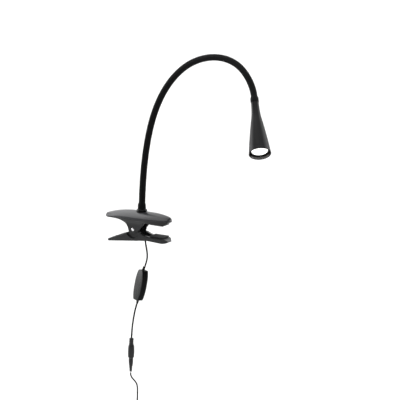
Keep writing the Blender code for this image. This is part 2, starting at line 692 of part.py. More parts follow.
def plug_pieces(looks, clip, plug):
    frame = axis_frame(SOCKET_TOP, SOCKET_AXIS, (1, 0, 0))
    cord_bore = CORD / 2 + GAP
    relief = [(cord_bore, -12.0), (4.0, -12.0), (4.0, -1.5), (3.2, 0), (cord_bore, 0)]
    add_mesh("socket_relief", turned_shape(relief, sides=20), looks["rubber"], clip, frame)
    bore = 3.3
    housing = [(bore, -36.0), (5.0, -36.0), (5.75, -35.2), (5.75, -13.2), (5.1, -12.3), (1.6, -12.3), (1.6, -16.0),
               (bore, -16.0)]
    add_mesh("socket_housing", turned_shape(housing, sides=24), looks["matte"], clip, frame)
    pin = [(0, -34.0), (0.9, -34.0), (0.9, -12.8), (0, -12.8)]
    add_mesh("socket_pin", turned_shape(pin, sides=12), looks["steel"], clip, frame)
    barrel = [(1.35, -36.6), (2.75, -36.6), (2.75, -19.0), (1.35, -19.0)]
    add_mesh("plug_barrel", turned_shape(barrel, sides=18), looks["steel"], plug, frame)
    grip_bore = ADAPTER_CORD / 2 + GAP
    grip = [(grip_bore, -62.0), (2.4, -62.0), (3.0, -52.0), (4.1, -44.0), (4.1, -38.0), (3.8, -36.9),
            (grip_bore, -36.9)]
    add_mesh("plug_grip", turned_shape(grip, sides=20), looks["matte"], plug, frame)


def hank_outline(half_length, half_width):
    """A flat bundle's outline with round ends, in local X and Z."""
    straight = half_length - half_width
    outline = []
    for end in (1, -1):
        for i in range(9):
            angle = math.pi * i / 8 + (0 if end > 0 else math.pi)
            outline.append((half_width * math.cos(angle), end * straight + half_width * math.sin(angle)))
    return outline


def adapter_pieces(looks, plug):
    """The rest of the adapter's cord in a tied hank, and the mains adapter on its end."""
    middle = HANK_TOP + HANK_SHIFT - Vector((0, 0, GAP + HANK_LENGTH / 2))
    frame = Matrix.Translation(middle)
    outline = hank_outline(HANK_LENGTH / 2, HANK_WIDTH / 2)
    hank = add_mesh("adapter_cord_hank", prism(outline, -HANK_DEPTH / 2, HANK_DEPTH / 2), looks["rubber"],
                    plug, frame)
    waist_x = HANK_WIDTH / 2 - HANK_WAIST
    waist_y = HANK_DEPTH / 2 - HANK_WAIST
    for name, low, high in (
        ("hank_waist_left", (-30, -30), (-waist_x, 30)),
        ("hank_waist_right", (waist_x, -30), (30, 30)),
        ("hank_waist_front", (-30, -30), (30, -waist_y)),
        ("hank_waist_back", (-30, waist_y), (30, 30)),
    ):
        cutter = add_mesh(name, block((*low, -5), (*high, 5)), looks["rubber"], plug, frame)
        boolean(hank, cutter)
    tie = add_mesh("cord_tie", block((-waist_x - 1.8, -waist_y - 1.8, -4.5), (waist_x + 1.8, waist_y + 1.8, 4.5)),
                   looks["matte"], plug, frame)
    inside = block((-waist_x - GAP, -waist_y - GAP, -9), (waist_x + GAP, waist_y + GAP, 9))
    boolean(tie, add_mesh("tie_cut", inside, looks["matte"], plug, frame))
    below = middle.z - HANK_LENGTH / 2 - GAP
    relief_top = ADAPTER_TOP.z + 10
    tail = [(HANK_TOP.x, HANK_TOP.y, below), (HANK_TOP.x + 0.6, HANK_TOP.y, below - 5),
            (HANK_TOP.x + 0.3, HANK_TOP.y, relief_top + 5), (HANK_TOP.x, HANK_TOP.y, relief_top + GAP)]
    add_tube("adapter_cord_tail", tail, ADAPTER_CORD, looks["rubber"], plug, 4.0)

    top = Matrix.Translation(ADAPTER_TOP)
    profile = relief_profile(ADAPTER_CORD / 2, 3.6, 2.2, GAP, 10.0)
    add_mesh("adapter_relief", turned_shape(profile, sides=16), looks["rubber"], plug, top)
    half_x, half_y, long = ADAPTER_SIZE[0] / 2, ADAPTER_SIZE[1], ADAPTER_SIZE[2]
    case = add_mesh("adapter_case", block((-half_x, -half_y + 4, -long), (half_x, 4, 0)), looks["matte"], plug, top)
    bevel = case.modifiers.new("Bevel", "BEVEL")
    bevel.width = 3.0 * MM
    bevel.segments = 2
    room = block((-half_x + 2, -half_y + 6, -long + 2), (half_x - 2, 9, -2))
    boolean(case, add_mesh("case_room", room, looks["matte"], plug, top))
    face = add_mesh("adapter_face", block((-half_x + 2.4, 0.5, -long + 2.4), (half_x - 2.4, 3.9, -2.4)),
                    looks["matte"], plug, top)
    for number, side in enumerate((-1, 1)):
        name = ("adapter_pin_left", "adapter_pin_right")[number]
        pin_place = ADAPTER_TOP + Vector((side * 9.5, 0, -22))
        along = axis_frame(pin_place, (0, 1, 0), (1, 0, 0))
        pin = [(0, -2.0), (2.0, -2.0), (2.0, 21.0), (1.4, 22.6), (0, 22.6)]
        add_mesh(name, turned_shape(pin, sides=16), looks["steel"], plug, along)
        hole = turned_shape([(0, -6), (2.35, -6), (2.35, 12), (0, 12)], sides=16)
        boolean(face, add_mesh(f"{name}_hole", hole, looks["steel"], plug, along))


# ---------------------------------------------------------------- assembly

def all_looks():
    return {
        "cover": material("satin_black_cover", (0.045, 0.045, 0.05), 0.34),
        "body": material("satin_black_body", (0.05, 0.052, 0.056), 0.42),
        "gloss": material("gloss_black", (0.012, 0.012, 0.013), 0.12),
        "matte": material("matte_black_plastic", (0.035, 0.037, 0.04), 0.5),
        "satin": material("satin_black_metal", (0.022, 0.022, 0.024), 0.36, 0.2),
        "rubber": material("black_rubber", (0.02, 0.02, 0.022), 0.55),
        "pad": material("pad_rubber", (0.03, 0.03, 0.032), 0.75),
        "steel": material("steel", (0.75, 0.75, 0.76), 0.22, 1.0),
        "chrome": material("reflector_metal", (0.85, 0.85, 0.86), 0.1, 1.0),
        "aluminium": material("aluminium", (0.72, 0.72, 0.73), 0.35, 1.0),
        "board": material("circuit_board", (0.85, 0.86, 0.84), 0.5),
        "lens": material("lens_white", (0.95, 0.96, 0.93), 0.3),
    }


def build_lamp():
    clear_scene()
    looks = all_looks()
    clip = add_empty("clip_origin", (0, 0, 0))
    lever = add_empty("lever_pivot", PIVOT, clip)
    top_cover(looks["cover"], clip)
    upper_jaw_body(looks["body"], clip)
    cover_screws(looks["steel"], clip)
    lower_lever(looks["body"], lever)
    pivot_pin(looks["steel"], clip)
    torsion_spring(looks["steel"], clip)
    jaw_pads(looks["pad"], clip, lever)
    arm_foot_pieces(looks, clip)
    lead_outlet(looks, clip)

    head = arm_links(looks["rubber"], clip)
    head_pieces(looks, head)

    add_tube("cord_upper", CORD_UPPER_ROUTE, CORD, looks["rubber"], clip, 6.0)
    button = add_empty("switch_button_slide", switch_frame().translation, clip)
    switch_pieces(looks, clip, button)
    add_tube("cord_lower", CORD_LOWER_ROUTE, CORD, looks["rubber"], clip, 6.0)
    plug = add_empty("plug_slide", SOCKET_TOP, clip)
    plug_pieces(looks, clip, plug)
    add_tube("adapter_cord", ADAPTER_CORD_ROUTE, ADAPTER_CORD, looks["rubber"], plug, 5.0)
    adapter_pieces(looks, plug)


build_lamp()
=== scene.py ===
"""Looks of the clip-on reading lamp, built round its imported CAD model.

Lengths are in millimetres and are scaled to metres where a mesh is made. Heights along the head run from
the rim of the shade back to the arm. Frame: +Z up, +X from the clip's handles to its jaw tip.
"""

import json
import math

import bmesh
import bpy
import numpy as np
from mathutils import Matrix, Vector


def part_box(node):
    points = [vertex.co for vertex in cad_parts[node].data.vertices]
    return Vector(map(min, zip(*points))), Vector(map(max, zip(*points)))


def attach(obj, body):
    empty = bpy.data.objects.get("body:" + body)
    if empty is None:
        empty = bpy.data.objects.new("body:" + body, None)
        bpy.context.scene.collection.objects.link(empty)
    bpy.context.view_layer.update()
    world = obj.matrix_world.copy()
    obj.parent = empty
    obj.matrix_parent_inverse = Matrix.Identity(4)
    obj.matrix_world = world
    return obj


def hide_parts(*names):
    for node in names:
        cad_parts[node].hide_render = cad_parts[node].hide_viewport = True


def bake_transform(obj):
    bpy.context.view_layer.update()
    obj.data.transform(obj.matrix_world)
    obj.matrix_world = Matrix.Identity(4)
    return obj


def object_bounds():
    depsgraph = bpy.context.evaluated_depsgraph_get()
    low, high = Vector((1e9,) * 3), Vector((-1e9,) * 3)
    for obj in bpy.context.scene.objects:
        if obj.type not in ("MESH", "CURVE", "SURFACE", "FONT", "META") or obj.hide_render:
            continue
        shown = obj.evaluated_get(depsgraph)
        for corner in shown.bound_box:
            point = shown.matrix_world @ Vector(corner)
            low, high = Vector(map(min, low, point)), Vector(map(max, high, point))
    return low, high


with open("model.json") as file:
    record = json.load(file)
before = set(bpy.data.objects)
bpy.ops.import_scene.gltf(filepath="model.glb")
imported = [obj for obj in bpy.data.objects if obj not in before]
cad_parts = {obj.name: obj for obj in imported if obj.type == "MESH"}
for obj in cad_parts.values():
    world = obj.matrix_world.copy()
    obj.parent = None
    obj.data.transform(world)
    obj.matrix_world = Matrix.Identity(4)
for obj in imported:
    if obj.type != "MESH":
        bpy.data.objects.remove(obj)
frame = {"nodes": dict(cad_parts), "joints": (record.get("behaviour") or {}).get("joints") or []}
CAD_BOX = [list(corner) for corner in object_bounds()]

MM = 0.001
GAP = 0.3
WELD = 1e-7  # metres; closer points become one
UP = Vector((0, 0, 1))
ORIGIN = Matrix.Identity(4)


# ---- places taken from the CAD model

def centre(node):
    low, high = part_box(node)
    return (low + high) / 2 / MM


def extent(node):
    low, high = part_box(node)
    return (high - low) / MM


def joint(name):
    return next(one for one in frame["joints"] if one["name"] == name)


def at(x, y=0.0, z=0.0):
    return Matrix.Translation((x, y, z))


def frame_along(place, axis, towards=(0, 1, 0)):
    """A frame at place with local Z along axis."""
    z = Vector(axis).normalized()
    x = Vector(towards).cross(z).normalized()
    y = z.cross(x)
    return Matrix.Translation(Vector(place)) @ Matrix((x, y, z)).transposed().to_4x4()


PIVOT = Vector(joint("clip_lever")["pos_m"]) / MM
ALONG_PIN = frame_along(PIVOT, (0, 1, 0), (1, 0, 0))
COLLAR_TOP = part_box("base_collar")[1].z / MM
ARM_FOOT = Vector((centre("base_collar").x, centre("base_collar").y, COLLAR_TOP))
FOOT = at(ARM_FOOT.x)
STEM_BORE = 3.4  # radius of the hole for the arm's threaded fitting
ARM_JOINTS = [one for one in frame["joints"] if one["name"].startswith("arm_")]
ARM_JOINTS.sort(key=lambda one: 99 if one["child"] == "head" else int(one["child"][-2:]))
ARM_RADIUS = 6.0

LENS_MIDDLE = 7.4  # height of the lens's middle over the rim
ARM_TIP = Vector(ARM_JOINTS[-1]["pos_m"]) / MM
HEAD_AXIS = (ARM_TIP - centre("lens")).normalized()
RIM = centre("lens") - HEAD_AXIS * LENS_MIDDLE
HEAD = frame_along(RIM, HEAD_AXIS)
SHADE_LENGTH = 106.0

COVER_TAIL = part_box("top_cover")[0].x / MM
COVER_LENGTH = extent("top_cover").x
COVER_HALF_WIDTH = extent("top_cover").y / 2
COVER_RIM = 2.6
COVER_TOP = 20.7
COVER_EDGE_HEIGHT = 10.5
COVER_SKIN = 3.0
NECK_HALF_WIDTH = 13.0
EAR_INNER = 10.1
EAR_RADIUS = 7.5
LEVER_INNER = 9.7
LEVER_WALL = 2.3
PIN_RADIUS = 1.6
SCREWS = {"cover_screw_back": -72.0, "cover_screw_front": 2.0}

CORD = 2.9
ADAPTER_CORD = 2.5
LAMP_CORD_ROUTE_UPPER = [
    (-30, 0, -12.2), (-30, 0, -22), (-29.8, 0.1, -34), (-27.9, 1.4, -49.8), (-27.1, 1.9, -61.4),
    (-28.7, 0.9, -73.6), (-30.1, -0.4, -79.6),
]
LAMP_CORD_ROUTE_LOWER = [
    (-43.0, -8.5, -150.6), (-45.1, -9.9, -160), (-47.2, -11.2, -172), (-49.0, -12.4, -186),
    (-50.2, -13.1, -200), (-50.8, -13.5, -212),
]
ADAPTER_CORD_ROUTE = [
    (-52.2, -14.4, -276.4), (-51.8, -14.2, -282), (-48.6, -12.1, -288.5), (-44.3, -9.3, -295),
    (-42.2, -7.9, -303), (-42.0, -7.8, -314), (-42.3, -8.0, -326), (-42.5, -8.1, -336.5),
]


# ---- mesh helpers

def linked(thing):
    bpy.context.scene.collection.objects.link(thing)
    return thing


def add_object(name, shape, finish=None, place=ORIGIN, crease=34):
    """Turns a bmesh in millimetres into an object placed by a frame. A cutter needs no finish."""
    bmesh.ops.remove_doubles(shape, verts=shape.verts, dist=1e-4)
    bmesh.ops.recalc_face_normals(shape, faces=shape.faces)
    bmesh.ops.scale(shape, vec=(MM, MM, MM), verts=shape.verts)
    mesh = bpy.data.meshes.new(name)
    shape.to_mesh(mesh)
    shape.free()
    mesh.shade_smooth()
    mesh.set_sharp_from_angle(angle=math.radians(crease))
    if finish:
        mesh.materials.append(LOOKS[finish])
    thing = bpy.data.objects.new(name, mesh)
    world = place.copy()
    world.translation = place.translation * MM
    thing.matrix_world = world
    return linked(thing)


def settle(thing, crease):
    """Applies an object's modifiers to its mesh and welds the hairline cracks that a cut leaves."""
    bpy.context.view_layer.update()
    graph = bpy.context.evaluated_depsgraph_get()
    solid = bpy.data.meshes.new_from_object(thing.evaluated_get(graph), preserve_all_data_layers=True,
                                            depsgraph=graph)
    shape = bmesh.new()
    shape.from_mesh(solid)
    bmesh.ops.remove_doubles(shape, verts=shape.verts, dist=WELD)
    bmesh.ops.dissolve_degenerate(shape, edges=shape.edges, dist=WELD)
    shape.to_mesh(solid)
    shape.free()
    thing.modifiers.clear()
    thing.data = solid
    solid.shade_smooth()
    solid.set_sharp_from_angle(angle=math.radians(crease))


def carve(thing, cutters, crease=34):
    """Cuts shapes out of a piece. Each cutter is a shape and its place."""
    tools = [add_object("cutter", shape, place=place) for shape, place in cutters]
    for tool in tools:
        step = thing.modifiers.new("carve", "BOOLEAN")
        step.operation = "DIFFERENCE"
        step.object = tool
    settle(thing, crease)
    for tool in tools:
        bpy.data.objects.remove(tool)


def grid_shape(rings, caps=True):
    """Joins closed rings of points into one surface."""
    shape = bmesh.new()
    rows = [[shape.verts.new(point) for point in ring] for ring in rings]
    count = len(rows[0])
    for row, following in zip(rows, rows[1:]):
        for i in range(count):
            j = (i + 1) % count
            shape.faces.new((row[i], row[j], following[j], following[i]))
    if caps:
        shape.faces.new(rows[0])
        shape.faces.new(rows[-1])
    return shape


def softened(points, reach, steps=4, closed=True):
    """Rounds the corners of an outline. reach is how far from its corner each round starts."""
    count = len(points)
    corners = [Vector(point[:2]) for point in points]
    outline = []
    for i, corner in enumerate(corners):
        own = points[i][2] if len(points[i]) > 2 else reach
        if own <= 0 or (not closed and i in (0, count - 1)):
            outline.append(tuple(corner))
            continue
        before, after = corners[i - 1] - corner, corners[(i + 1) % count] - corner
        start = corner + before * min(own / before.length, 0.48)
        end = corner + after * min(own / after.length, 0.48)
        for k in range(steps + 1):
            t = k / steps
            spot = start * (1 - t) ** 2 + corner * 2 * t * (1 - t) + end * t**2
            outline.append(tuple(spot))
    return outline


def shrunk(outline, inset):
    """An outline moved inwards by inset; sides that a corner swallows shrink to a point."""
    points = np.array(outline, float)
    area = np.sum(points[:, 0] * np.roll(points[:, 1], -1) - np.roll(points[:, 0], -1) * points[:, 1])
    ahead = np.roll(points, -1, axis=0) - np.roll(points, 1, axis=0)
    ahead /= np.maximum(np.linalg.norm(ahead, axis=1), 1e-9)[:, None]
    inward = np.stack([-ahead[:, 1], ahead[:, 0]], axis=1) * (1 if area > 0 else -1)
    moved = points + inward * inset
    sides = np.roll(points, -1, axis=0) - points
    for _ in range(12):
        turned_back = np.flatnonzero(np.sum((np.roll(moved, -1, axis=0) - moved) * sides, axis=1) < 0)
        if not len(turned_back):
            break
        for i in turned_back:
            j = (i + 1) % len(moved)
            moved[i] = moved[j] = (moved[i] + moved[j]) / 2
    return moved


def slab(outline, layers, up="Z"):
    """A closed slab: layers are (inset, level) pairs from its bottom to its top."""
    def point(a, b, level):
        return (a, level, b) if up == "Y" else (a, b, level)

    rings = []
    for inset, level in layers:
        rings.append([point(a, b, level) for a, b in shrunk(outline, inset)])
    return grid_shape(rings)


def rounded_layers(low, high, radius, steps=4):
    """Layers of a slab whose two faces meet its side in a round of that radius."""
    layers = []
    for k in range(steps + 1):
        angle = math.pi / 2 * k / steps
        layers.append((radius * (1 - math.sin(angle)), low + radius * (1 - math.cos(angle))))
    return layers + [(inset, high + low - level) for inset, level in reversed(layers)]


def rectangle(half_x, half_y, radius, steps=6):
    corners = [(-half_x, -half_y), (half_x, -half_y), (half_x, half_y), (-half_x, half_y)]
    return softened(corners, radius, steps)


def block(low, high):
    outline = [(low[0], low[1]), (high[0], low[1]), (high[0], high[1]), (low[0], high[1])]
    return slab(outline, [(0, low[2]), (0, high[2])])


def turned_shape(profile, sides=96):
    """Turns a closed profile of (radius, height) about local Z."""
    rings = []
    for side in range(sides + 1):
        angle = 2 * math.pi * (side % sides) / sides
        rings.append([(r * math.cos(angle), r * math.sin(angle), z) for r, z in profile])
    shape = grid_shape(rings, caps=False)
    bmesh.ops.remove_doubles(shape, verts=shape.verts, dist=1e-4)
    loose = [edge for edge in shape.edges if not edge.link_faces]
    bmesh.ops.delete(shape, geom=loose, context="EDGES")
    return shape


def turned(name, profile, finish, place, sides=96, steps=4):
    """A turned piece. Each profile point is (radius, height, reach of its round)."""
    return add_object(name, turned_shape(softened(profile, 0, steps), sides), finish, place)


def rod(radius, low, high, sides=32):
    """A plain round bar along local Z, for cutting holes."""
    return turned_shape([(0, low), (radius, low), (radius, high), (0, high)], sides)


def repeated(points, count, pitch, widening=0.0):
    """Profile points repeated count times, each set pitch further along and wider by widening."""
    return [(r + widening * k, h + pitch * k, reach) for k in range(count) for r, h, reach in points]


def smooth_curve(points, start=None, end=None):
    """A function from 0..1 to a place on the cubic spline through points, evenly spaced by length."""
    knots = np.array([list(point) for point in points], float)
    steps = np.linalg.norm(np.diff(knots, axis=0), axis=1)
    at = np.concatenate([[0.0], np.cumsum(steps)])
    count = len(knots)
    system = np.eye(count)
    right = np.zeros((count, 3))
    slope = np.diff(knots, axis=0) / steps[:, None]
    for i in range(1, count - 1):
        system[i, i - 1] = steps[i]
        system[i, i] = 2 * (steps[i - 1] + steps[i])
        system[i, i + 1] = steps[i - 1]
        right[i] = 3 * (steps[i] * slope[i - 1] + steps[i - 1] * slope[i])
    for row, inner, given, chord in ((0, 1, start, slope[0]), (count - 1, count - 2, end, slope[-1])):
        if given is None:
            system[row, row], system[row, inner] = 2.0, 1.0
            right[row] = 3 * chord
        else:
            right[row] = given
    tangents = np.linalg.solve(system, right)

    def at_length(value):
        i = int(np.clip(np.searchsorted(at, value) - 1, 0, count - 2))
        t = (value - at[i]) / steps[i]
        blend = (2 * t**3 - 3 * t**2 + 1, t**3 - 2 * t**2 + t, 3 * t**2 - 2 * t**3, t**3 - t**2)
        ends = (knots[i], tangents[i] * steps[i], knots[i + 1], tangents[i + 1] * steps[i])
        return sum(weight * part for weight, part in zip(blend, ends))

    fine = np.linspace(0.0, at[-1], 900)
    places = np.array([at_length(value) for value in fine])
    run = np.concatenate([[0.0], np.cumsum(np.linalg.norm(np.diff(places, axis=0), axis=1))])

    def place(share):
        value = np.interp(share * run[-1], run, fine)
        return Vector(at_length(value))

    return place, float(run[-1])


def swept_shape(centres, radii, sides=24):
    """A round bar through centres; radii is one radius for each centre."""
    rings = []
    across = None
    last = len(centres) - 1
    for i, middle in enumerate(centres):
        along = (centres[min(i + 1, last)] - centres[max(i - 1, 0)]).normalized()
        if across is None:
            across = along.orthogonal()
        across = (across - along * across.dot(along)).normalized()
        other = along.cross(across)
        ring = []
        for side in range(sides):
            angle = 2 * math.pi * side / sides
            ring.append(middle + radii[i] * (math.cos(angle) * across + math.sin(angle) * other))
        rings.append(ring)
    return grid_shape(rings)


def fit(thing, body, slot, *nodes):
    """The piece rides on its body and stands for CAD nodes, which are hidden; slot is not used."""
    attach(thing, body)
    if nodes:
        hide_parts(*nodes)
    return thing


# ---- materials

HANDLING_SCALE = 60.0  # of the faint tint variation, per metre
ROUGHNESS_SPREAD = 0.07


def preset(node, values):
    for name, value in values.items():
        node.inputs[name].default_value = value


def surface(name, colour, roughness, grain=0.25, relief=0.02, mottle=0.1, specular=0.5, metallic=0.0):
    """A moulded or painted surface; grain and relief are its texture's size and depth in millimetres."""
    made = bpy.data.materials.new(name)
    made.use_nodes = True
    nodes, links = made.node_tree.nodes, made.node_tree.links
    shader = nodes["Principled BSDF"]
    preset(shader, {"Specular IOR Level": specular, "Metallic": metallic})
    where = nodes.new("ShaderNodeTexCoord")

    handling = nodes.new("ShaderNodeTexNoise")
    preset(handling, {"Scale": HANDLING_SCALE, "Detail": 3.0})
    links.new(where.outputs["Object"], handling.inputs["Vector"])
    tint = nodes.new("ShaderNodeMix")
    tint.data_type = "RGBA"
    dark = [part * (1 - mottle) for part in colour]
    light = [min(part * (1 + mottle), 1.0) for part in colour]
    preset(tint, {"A": (*dark, 1.0), "B": (*light, 1.0)})
    links.new(handling.outputs["Fac"], tint.inputs["Factor"])
    links.new(tint.outputs["Result"], shader.inputs["Base Color"])

    texture = nodes.new("ShaderNodeTexNoise")
    preset(texture, {"Scale": 1.0 / (grain * MM), "Detail": 2.0})
    links.new(where.outputs["Object"], texture.inputs["Vector"])
    spread = nodes.new("ShaderNodeMapRange")
    lowest = max(roughness - ROUGHNESS_SPREAD, 0.02)
    preset(spread, {"To Min": lowest, "To Max": roughness + ROUGHNESS_SPREAD})
    links.new(texture.outputs["Fac"], spread.inputs["Value"])
    links.new(spread.outputs["Result"], shader.inputs["Roughness"])

    bump = nodes.new("ShaderNodeBump")
    preset(bump, {"Strength": 1.0, "Distance": relief * MM})
    links.new(texture.outputs["Fac"], bump.inputs["Height"])
    links.new(bump.outputs["Normal"], shader.inputs["Normal"])
    return made


def banded(made, direction, spacing, relief):
    """Adds fine lines across a direction, such as drawn wire, turned metal or a woven strap."""
    nodes, links = made.node_tree.nodes, made.node_tree.links
    where = nodes.new("ShaderNodeTexCoord")
    wave = nodes.new("ShaderNodeTexWave")
    wave.bands_direction = direction
    preset(wave, {"Scale": 0.314 / (spacing * MM), "Distortion": 0.4})
    links.new(where.outputs["Object"], wave.inputs["Vector"])
    lines = nodes.new("ShaderNodeBump")
    preset(lines, {"Distance": relief * MM})
    links.new(wave.outputs["Fac"], lines.inputs["Height"])
    grain = next(node for node in nodes if node.type == "BUMP" and node != lines)
    links.new(lines.outputs["Normal"], grain.inputs["Normal"])
    return made


def glowing(made, colour, strength):
    shader = made.node_tree.nodes["Principled BSDF"]
    preset(shader, {"Emission Color": (*colour, 1.0), "Emission Strength": strength})
    return made


LOOKS = {
    "cover": surface("satin_black_cover", (0.020, 0.020, 0.023), 0.3, grain=0.35, relief=0.002,
                     specular=0.4),
    "body": surface("satin_black_body", (0.006, 0.0066, 0.0072), 0.34, grain=0.35, relief=0.006,
                    specular=0.35),
    "collar": surface("gloss_black", (0.001, 0.001, 0.0012), 0.07, grain=1.2, relief=0.001, specular=0.12),
    "arm": surface("arm_rubber", (0.005, 0.005, 0.0054), 0.6, grain=0.5, relief=0.03, specular=0.05),
    "pad": surface("pad_rubber", (0.022, 0.022, 0.023), 0.78, grain=0.3, relief=0.05, specular=0.3),
    "shade": surface("shade_paint", (0.004, 0.004, 0.0046), 0.34, grain=0.4, relief=0.006, specular=0.09),
    # Inner wall: glossy, with a lighter brown base colour that is a painted reflection of the lens light on
    # the black wall.
    "shade_inside_painted_reflection": surface("shade_inner_gloss_painted_reflection", (0.022, 0.018, 0.016), 0.16, grain=0.8, relief=0.002),
    "lens": glowing(surface("lens_diffuser", (0.93, 0.94, 0.92), 0.3, grain=0.6, relief=0.01),
                    (1.0, 0.985, 0.95), 1.1),
    "phosphor": glowing(surface("led_phosphor", (0.9, 0.75, 0.2), 0.5), (1.0, 0.9, 0.6), 2.0),
    "cord": surface("cord_jacket", (0.004, 0.004, 0.0043), 0.6, grain=0.4, relief=0.01, specular=0.04),
    "switch": surface("switch_plastic", (0.002, 0.002, 0.0021), 0.28, grain=0.3, relief=0.006,
                      specular=0.06),
    "switch_face": surface("switch_face_plastic", (0.003, 0.0035, 0.0037), 0.28, grain=0.3, relief=0.006,
                           specular=0.33),
    "socket": surface("plug_plastic", (0.010, 0.010, 0.011), 0.42, grain=0.3, relief=0.01, specular=0.35),
    "adapter": surface("adapter_plastic", (0.030, 0.031, 0.033), 0.44, grain=0.35, relief=0.02),
    "steel": banded(surface("polished_steel", (0.78, 0.78, 0.79), 0.14, grain=0.6, relief=0.001,
                            mottle=0.03, metallic=1.0), "Z", 0.12, 0.001),
    "wire": surface("spring_wire", (0.55, 0.54, 0.53), 0.28, relief=0.002, metallic=1.0),
    "aluminium": banded(surface("turned_aluminium", (0.72, 0.72, 0.73), 0.34, relief=0.002,
                                mottle=0.04, metallic=1.0), "Z", 0.3, 0.004),
    "reflector": surface("reflector_metal", (0.86, 0.86, 0.87), 0.1, grain=0.8, relief=0.001,
                         mottle=0.02, metallic=1.0),
    "board": surface("circuit_board", (0.80, 0.82, 0.79), 0.45, grain=0.5, relief=0.01),
    "tie": banded(surface("woven_tie", (0.03, 0.03, 0.031), 0.85, grain=0.2, relief=0.06), "X", 0.5, 0.08),
    "floor": surface("floor_paper", (0.66, 0.66, 0.66), 0.85, grain=2.0, relief=0.05, mottle=0.01,
                     specular=0.1),
}


# ---- clip

def cover_half_width(x):
    """Plan of the leaf-shaped cover: rounder at the jaw end than at the handle end."""
    u = min(max((x - COVER_TAIL) / COVER_LENGTH, 0.0), 1.0)
    power = 0.46 - 0.06 * u
    return COVER_HALF_WIDTH * (4 * u * (1 - u)) ** power


def cover_edge(x):
    """Height of the cover's top edge, which droops towards the handle end."""
    back = max(0.0, (-55.0 - x) / (-55.0 - COVER_TAIL))
    front = max(0.0, (x + 20.0) / (COVER_TAIL + COVER_LENGTH + 20.0))
    return COVER_EDGE_HEIGHT - 5.0 * back**2.2 + front


def cover_crown(x):
    """Rise of the cover's middle over its edge. The ridge line falls to both tips."""
    back = max(0.0, (-35.0 - x) / (-35.0 - COVER_TAIL))
    front = max(0.0, (x + 12.0) / (COVER_TAIL + COVER_LENGTH + 12.0))
    ridge = COVER_TOP - 12.5 * back**2.4 - 5.0 * front**1.9
    return (ridge - cover_edge(x)) * min(1.0, cover_half_width(x) / 6.0)


def cover_pocket(low_x, high_x):
    """One of the hollows under the cover, between the ribs that hold the screws."""
    wall = 0.4  # upright stretch at the pocket's sides
    rings = []
    for i in range(9):
        x = low_x + (high_x - low_x) * i / 8
        half = cover_half_width(x) - COVER_SKIN
        floor = cover_edge(x) - COVER_RIM
        rise = min(cover_crown(x) + COVER_RIM - COVER_SKIN, 4.8) - wall
        ring = [(x, -half, floor - 2.0)]
        for k in range(17):
            v = -1 + k / 8
            ring.append((x, v * half, floor + wall + rise * (1 - v**2)))
        rings.append(ring + [(x, half, floor - 2.0)])
    return grid_shape(rings)


def leaf_outline(count=180):
    outline = []
    for i in range(count):
        angle = 2 * math.pi * i / count
        x = COVER_TAIL + COVER_LENGTH * (1 - math.cos(angle)) / 2
        outline.append((x, -math.copysign(cover_half_width(x), math.sin(angle))))
    return outline


SHOULDER = 2.0  # radius of the rounded shoulder
SHOULDER_TURN = math.radians(52)  # how far the shoulder turns before the dome takes over
SHOULDER_LIFT = 0.07  # share of the crown at which the shoulder runs into the dome
SCREW_SINK = 2.6  # how far the screws' heads sit below the cover, and how far their tips go into it
POCKETS = [(-103.0, -77.0), (-67.0, -3.0), (7.0, 17.0)]


def cover_plate():
    """Domed shell with a rounded shoulder, let in round the collar."""
    leaf = leaf_outline()
    rings = []
    for inset, drop in ((0.6, COVER_RIM), (0.15, COVER_RIM - 0.15), (0.0, COVER_RIM - 0.6)):
        rings.append([(x, y, cover_edge(x) - drop) for x, y in shrunk(leaf, inset)])
    rings.insert(0, [(x, 0, z) for x, y, z in rings[0]])
    for k in range(6):
        angle = SHOULDER_TURN * k / 5
        rise = SHOULDER * (math.sin(angle) - math.sin(SHOULDER_TURN))
        ring = []
        for x, y in shrunk(leaf, SHOULDER * (1 - math.cos(angle))):
            ring.append((x, y, cover_edge(x) + SHOULDER_LIFT * cover_crown(x) + rise))
        rings.append(ring)
    edge = rings[-1]
    for k in range(1, 17):
        share = math.cos(math.pi / 2 * k / 16)
        ring = []
        for x, y, z in edge:
            rest = cover_edge(x) + cover_crown(x) - z
            ring.append((x, y * share, z + rest * (1 - share**2)))
        rings.append(ring)
    plate = add_object("cover_plate", grid_shape(rings, caps=False), "cover")
    well = [(0, -5), (STEM_BORE, -5), (STEM_BORE, 15.1), (10.1, 15.1), (10.1, 40), (0, 40)]
    cutters = [(turned_shape(well), FOOT)] + [(cover_pocket(*ends), ORIGIN) for ends in POCKETS]
    for x in SCREWS.values():
        low = cover_edge(x) - COVER_RIM
        cutters.append((rod(1.35, low - 3, low + SCREW_SINK, 24), at(x)))
    carve(plate, cutters)
    fit(plate, "clip", "cover", "top_cover")


BODY_UNDERSIDE = [
    (-110.0, -3.5), (-105, -4.2), (-95, -4.6), (-85, -5.3), (-78, -6.4), (-72, -8.3),
    (-68, -10.4), (-65, -12.6), (-62.5, -15.1), (-60.5, -18.1), (-59, -21.1), (-57.8, -25.1),
    (-56.6, -29.5),
]
EAR_FRONT = [(-40.2, -30.1), (-36.5, -24.7), (-31.0, -18.5), (-27.5, -14.0), (-25.0, -9.5), (-22.5, -7.5)]
JAW_UNDERSIDE = 2.7


def body_underside():
    """(x, height) along the underside from the handle end over the ears to the jaw tip."""
    found = [(x, cover_edge(x) + drop) for x, drop in BODY_UNDERSIDE]
    for i in range(1, 16):
        angle = math.pi * i / 16
        found.append((PIVOT.x - EAR_RADIUS * math.cos(angle), PIVOT.z - EAR_RADIUS * math.sin(angle)))
    found += [(x, COVER_EDGE_HEIGHT + drop) for x, drop in EAR_FRONT]
    found += [(x, JAW_UNDERSIDE) for x in (-19.0, -8.0, 4.0, 14.5)]
    found += [(18.0, 3.8), (21.0, 5.4), (22.6, 6.8)]
    return softened(found, 9.0, steps=3, closed=False)


def body_flare(x):
    """How late the body widens towards the cover: late at the neck, early along the jaw."""
    return float(np.interp(x, (-26.0, -16.0), (1.8, 0.7)))


